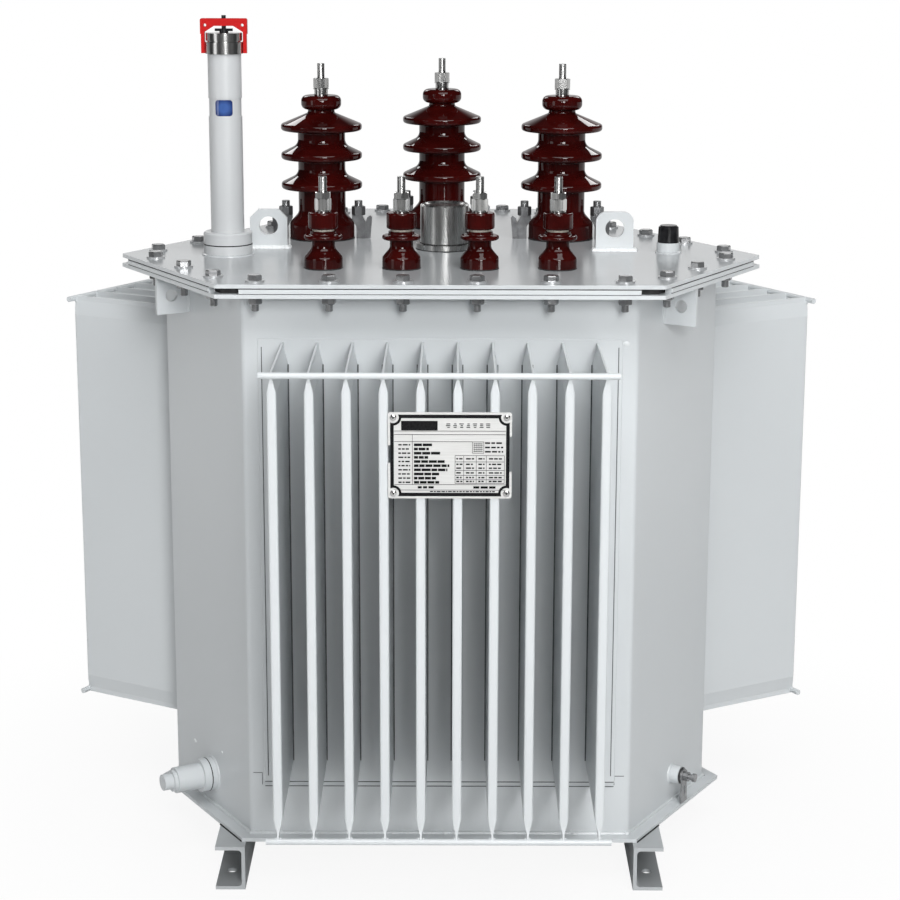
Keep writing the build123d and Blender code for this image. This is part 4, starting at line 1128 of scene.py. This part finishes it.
def plate_screws():
    """Pan head screws in the corners of the plate, with a crossed slot drawn as dark bars of painted shade.
    """
    heads, slots = [], []
    length, width, lift = PLATE_CROSS
    for corner in PLATE_CORNERS:
        middle = screw_place(corner)[0]
        outward = Matrix.Translation(middle) @ Matrix.Rotation(math.pi / 2, 4, "X")
        heads.append(moved(turned(PLATE_SCREW, SCREW_STEPS), outward))
        spin = outward @ Matrix.Rotation(random.uniform(0.0, math.pi), 4, "Z")
        for long_half, short_half in ((length / 2, width / 2), (width / 2, length / 2)):
            slots.append(moved(box_part((-long_half, -short_half, 0.0), (long_half, short_half, lift)), spin))
    piece("plate_screws", heads, stainless)
    # Dark bars in the ink colour: painted shade where the slots are
    piece("plate_screw_slot_shades", slots, ink)


def rating_plate():
    """Printing and screws of the plate, without words."""
    piece("plate_print", plate_lines(), ink)
    piece("plate_dashes", plate_dashes(), ink)
    plate_screws()


dress_frame()
cover_bolts()
weld_beads()
wall_shade_lines()
rim_joint_shadows()
foot_joint_shadows()
tie_bar_welds()
weld_spots()
bracket_welds()
seals_and_bosses()
stud_threads()
rating_plate()


# Studio

def ray_kinds(tree):
    """One for camera rays, and one for the rays of metal and glass."""
    path = tree.nodes.new("ShaderNodeLightPath")
    mirrored = combine(tree, "MAXIMUM", path.outputs["Is Glossy Ray"], path.outputs["Is Transmission Ray"])
    return path.outputs["Is Camera Ray"], mirrored


def mixed_surface(tree, share, first, second, output):
    """Surface that goes from one shader to another as share rises."""
    mix = tree.nodes.new("ShaderNodeMixShader")
    for value, socket in zip((share, first, second), mix.inputs):
        tree.links.new(value, socket)
    tree.links.new(mix.outputs["Shader"], output.inputs["Surface"])


def stage_floor():
    """Pale floor that keeps the shadow and runs out into white."""
    bpy.ops.mesh.primitive_plane_add(size=FLOOR_SIZE, location=ORIGIN)
    floor = bpy.context.object
    floor.name = "studio_floor"
    material, tree, shader = new_material("studio_floor")
    shader.inputs["Base Color"].default_value = (*FLOOR_COLOUR, 1.0)
    shader.inputs["Roughness"].default_value = FLOOR_ROUGH
    shader.inputs["Specular IOR Level"].default_value = FLOOR_SPECULAR
    white = tree.nodes.new("ShaderNodeEmission")
    white.inputs["Strength"].default_value = 1.0
    coordinate = tree.nodes.new("ShaderNodeTexCoord")
    length = tree.nodes.new("ShaderNodeVectorMath")
    length.operation = "LENGTH"
    tree.links.new(coordinate.outputs["Object"], length.inputs[0])
    seen, mirrored = ray_kinds(tree)
    fade = smooth_step(tree, length.outputs["Value"], *FLOOR_FADE)
    near = combine(tree, "ADD", combine(tree, "MULTIPLY", fade, 1.0 - FLOOR_WHITE_SHARE), FLOOR_WHITE_SHARE)
    rear = smooth_step(tree, split(tree, coordinate.outputs["Object"])["Y"], *FLOOR_REAR)
    behind = combine(tree, "MULTIPLY", mirrored, rear)
    share = combine(tree, "ADD", combine(tree, "MULTIPLY", seen, near), behind)
    output = tree.nodes["Material Output"]
    mixed_surface(tree, share, shader.outputs["BSDF"], white.outputs["Emission"], output)
    floor.data.materials.append(material)


def studio_world():
    """White backdrop, seen by the camera and mirrored from the rear, in a dim room with soft light."""
    world = bpy.data.worlds.new("studio")
    bpy.context.scene.world = world
    world.use_nodes = True
    tree = world.node_tree
    tree.nodes.clear()
    output = tree.nodes.new("ShaderNodeOutputWorld")
    ambient = tree.nodes.new("ShaderNodeBackground")
    ambient.inputs["Color"].default_value = AMBIENT_COLOUR
    backdrop = tree.nodes.new("ShaderNodeBackground")
    backdrop.inputs["Color"].default_value = (1.0, 1.0, 1.0, 1.0)
    backdrop.inputs["Strength"].default_value = 1.0
    coordinate = tree.nodes.new("ShaderNodeTexCoord")
    seen, mirrored = ray_kinds(tree)
    rear = smooth_step(tree, split(tree, coordinate.outputs["Generated"])["Y"], *BACKDROP_REAR)
    dim = combine(tree, "SUBTRACT", AMBIENT, combine(tree, "MULTIPLY", mirrored, AMBIENT - MIRRORED_AMBIENT))
    tree.links.new(dim, ambient.inputs["Strength"])
    share = combine(tree, "ADD", seen, combine(tree, "MULTIPLY", mirrored, rear))
    mixed_surface(tree, share, ambient.outputs["Background"], backdrop.outputs["Background"], output)


def lamp(name, place, aim, width, height, watts):
    """Soft rectangular lamp."""
    data = bpy.data.lights.new(name, "AREA")
    data.shape = "RECTANGLE"
    data.size, data.size_y = width, height
    data.energy = watts
    made = bpy.data.objects.new(name, data)
    made.location = place
    made.rotation_euler = (Vector(aim) - Vector(place)).to_track_quat("-Z", "Y").to_euler()
    bpy.context.scene.collection.objects.link(made)


def studio_lamps():
    """Front key and spot, side fills, two lights behind and a top light."""
    for row in LAMPS:
        lamp(*row)


def camera():
    """Camera at the photograph's place and angle."""
    right = Vector((math.cos(CAMERA_YAW), -math.sin(CAMERA_YAW), 0.0))
    ahead = Vector((math.sin(CAMERA_YAW), math.cos(CAMERA_YAW), 0.0))
    forward = ahead * math.cos(CAMERA_PITCH) - UP * math.sin(CAMERA_PITCH)
    down = forward.cross(right)
    turned_right = right * math.cos(CAMERA_ROLL) + down * math.sin(CAMERA_ROLL)
    turned_down = down * math.cos(CAMERA_ROLL) - right * math.sin(CAMERA_ROLL)
    data = bpy.data.cameras.new("camera")
    data.lens = FOCAL_PIXELS * SENSOR / IMAGE_WIDTH
    data.sensor_width = SENSOR
    made = bpy.data.objects.new("camera", data)
    bpy.context.scene.collection.objects.link(made)
    axes = Matrix((turned_right, -turned_down, -forward)).transposed().to_4x4()
    made.matrix_world = Matrix.Translation(CAMERA_PLACE) @ axes
    bpy.context.scene.camera = made


stage_floor()
studio_world()
studio_lamps()
camera()
bpy.context.scene.view_settings.view_transform = "Standard"
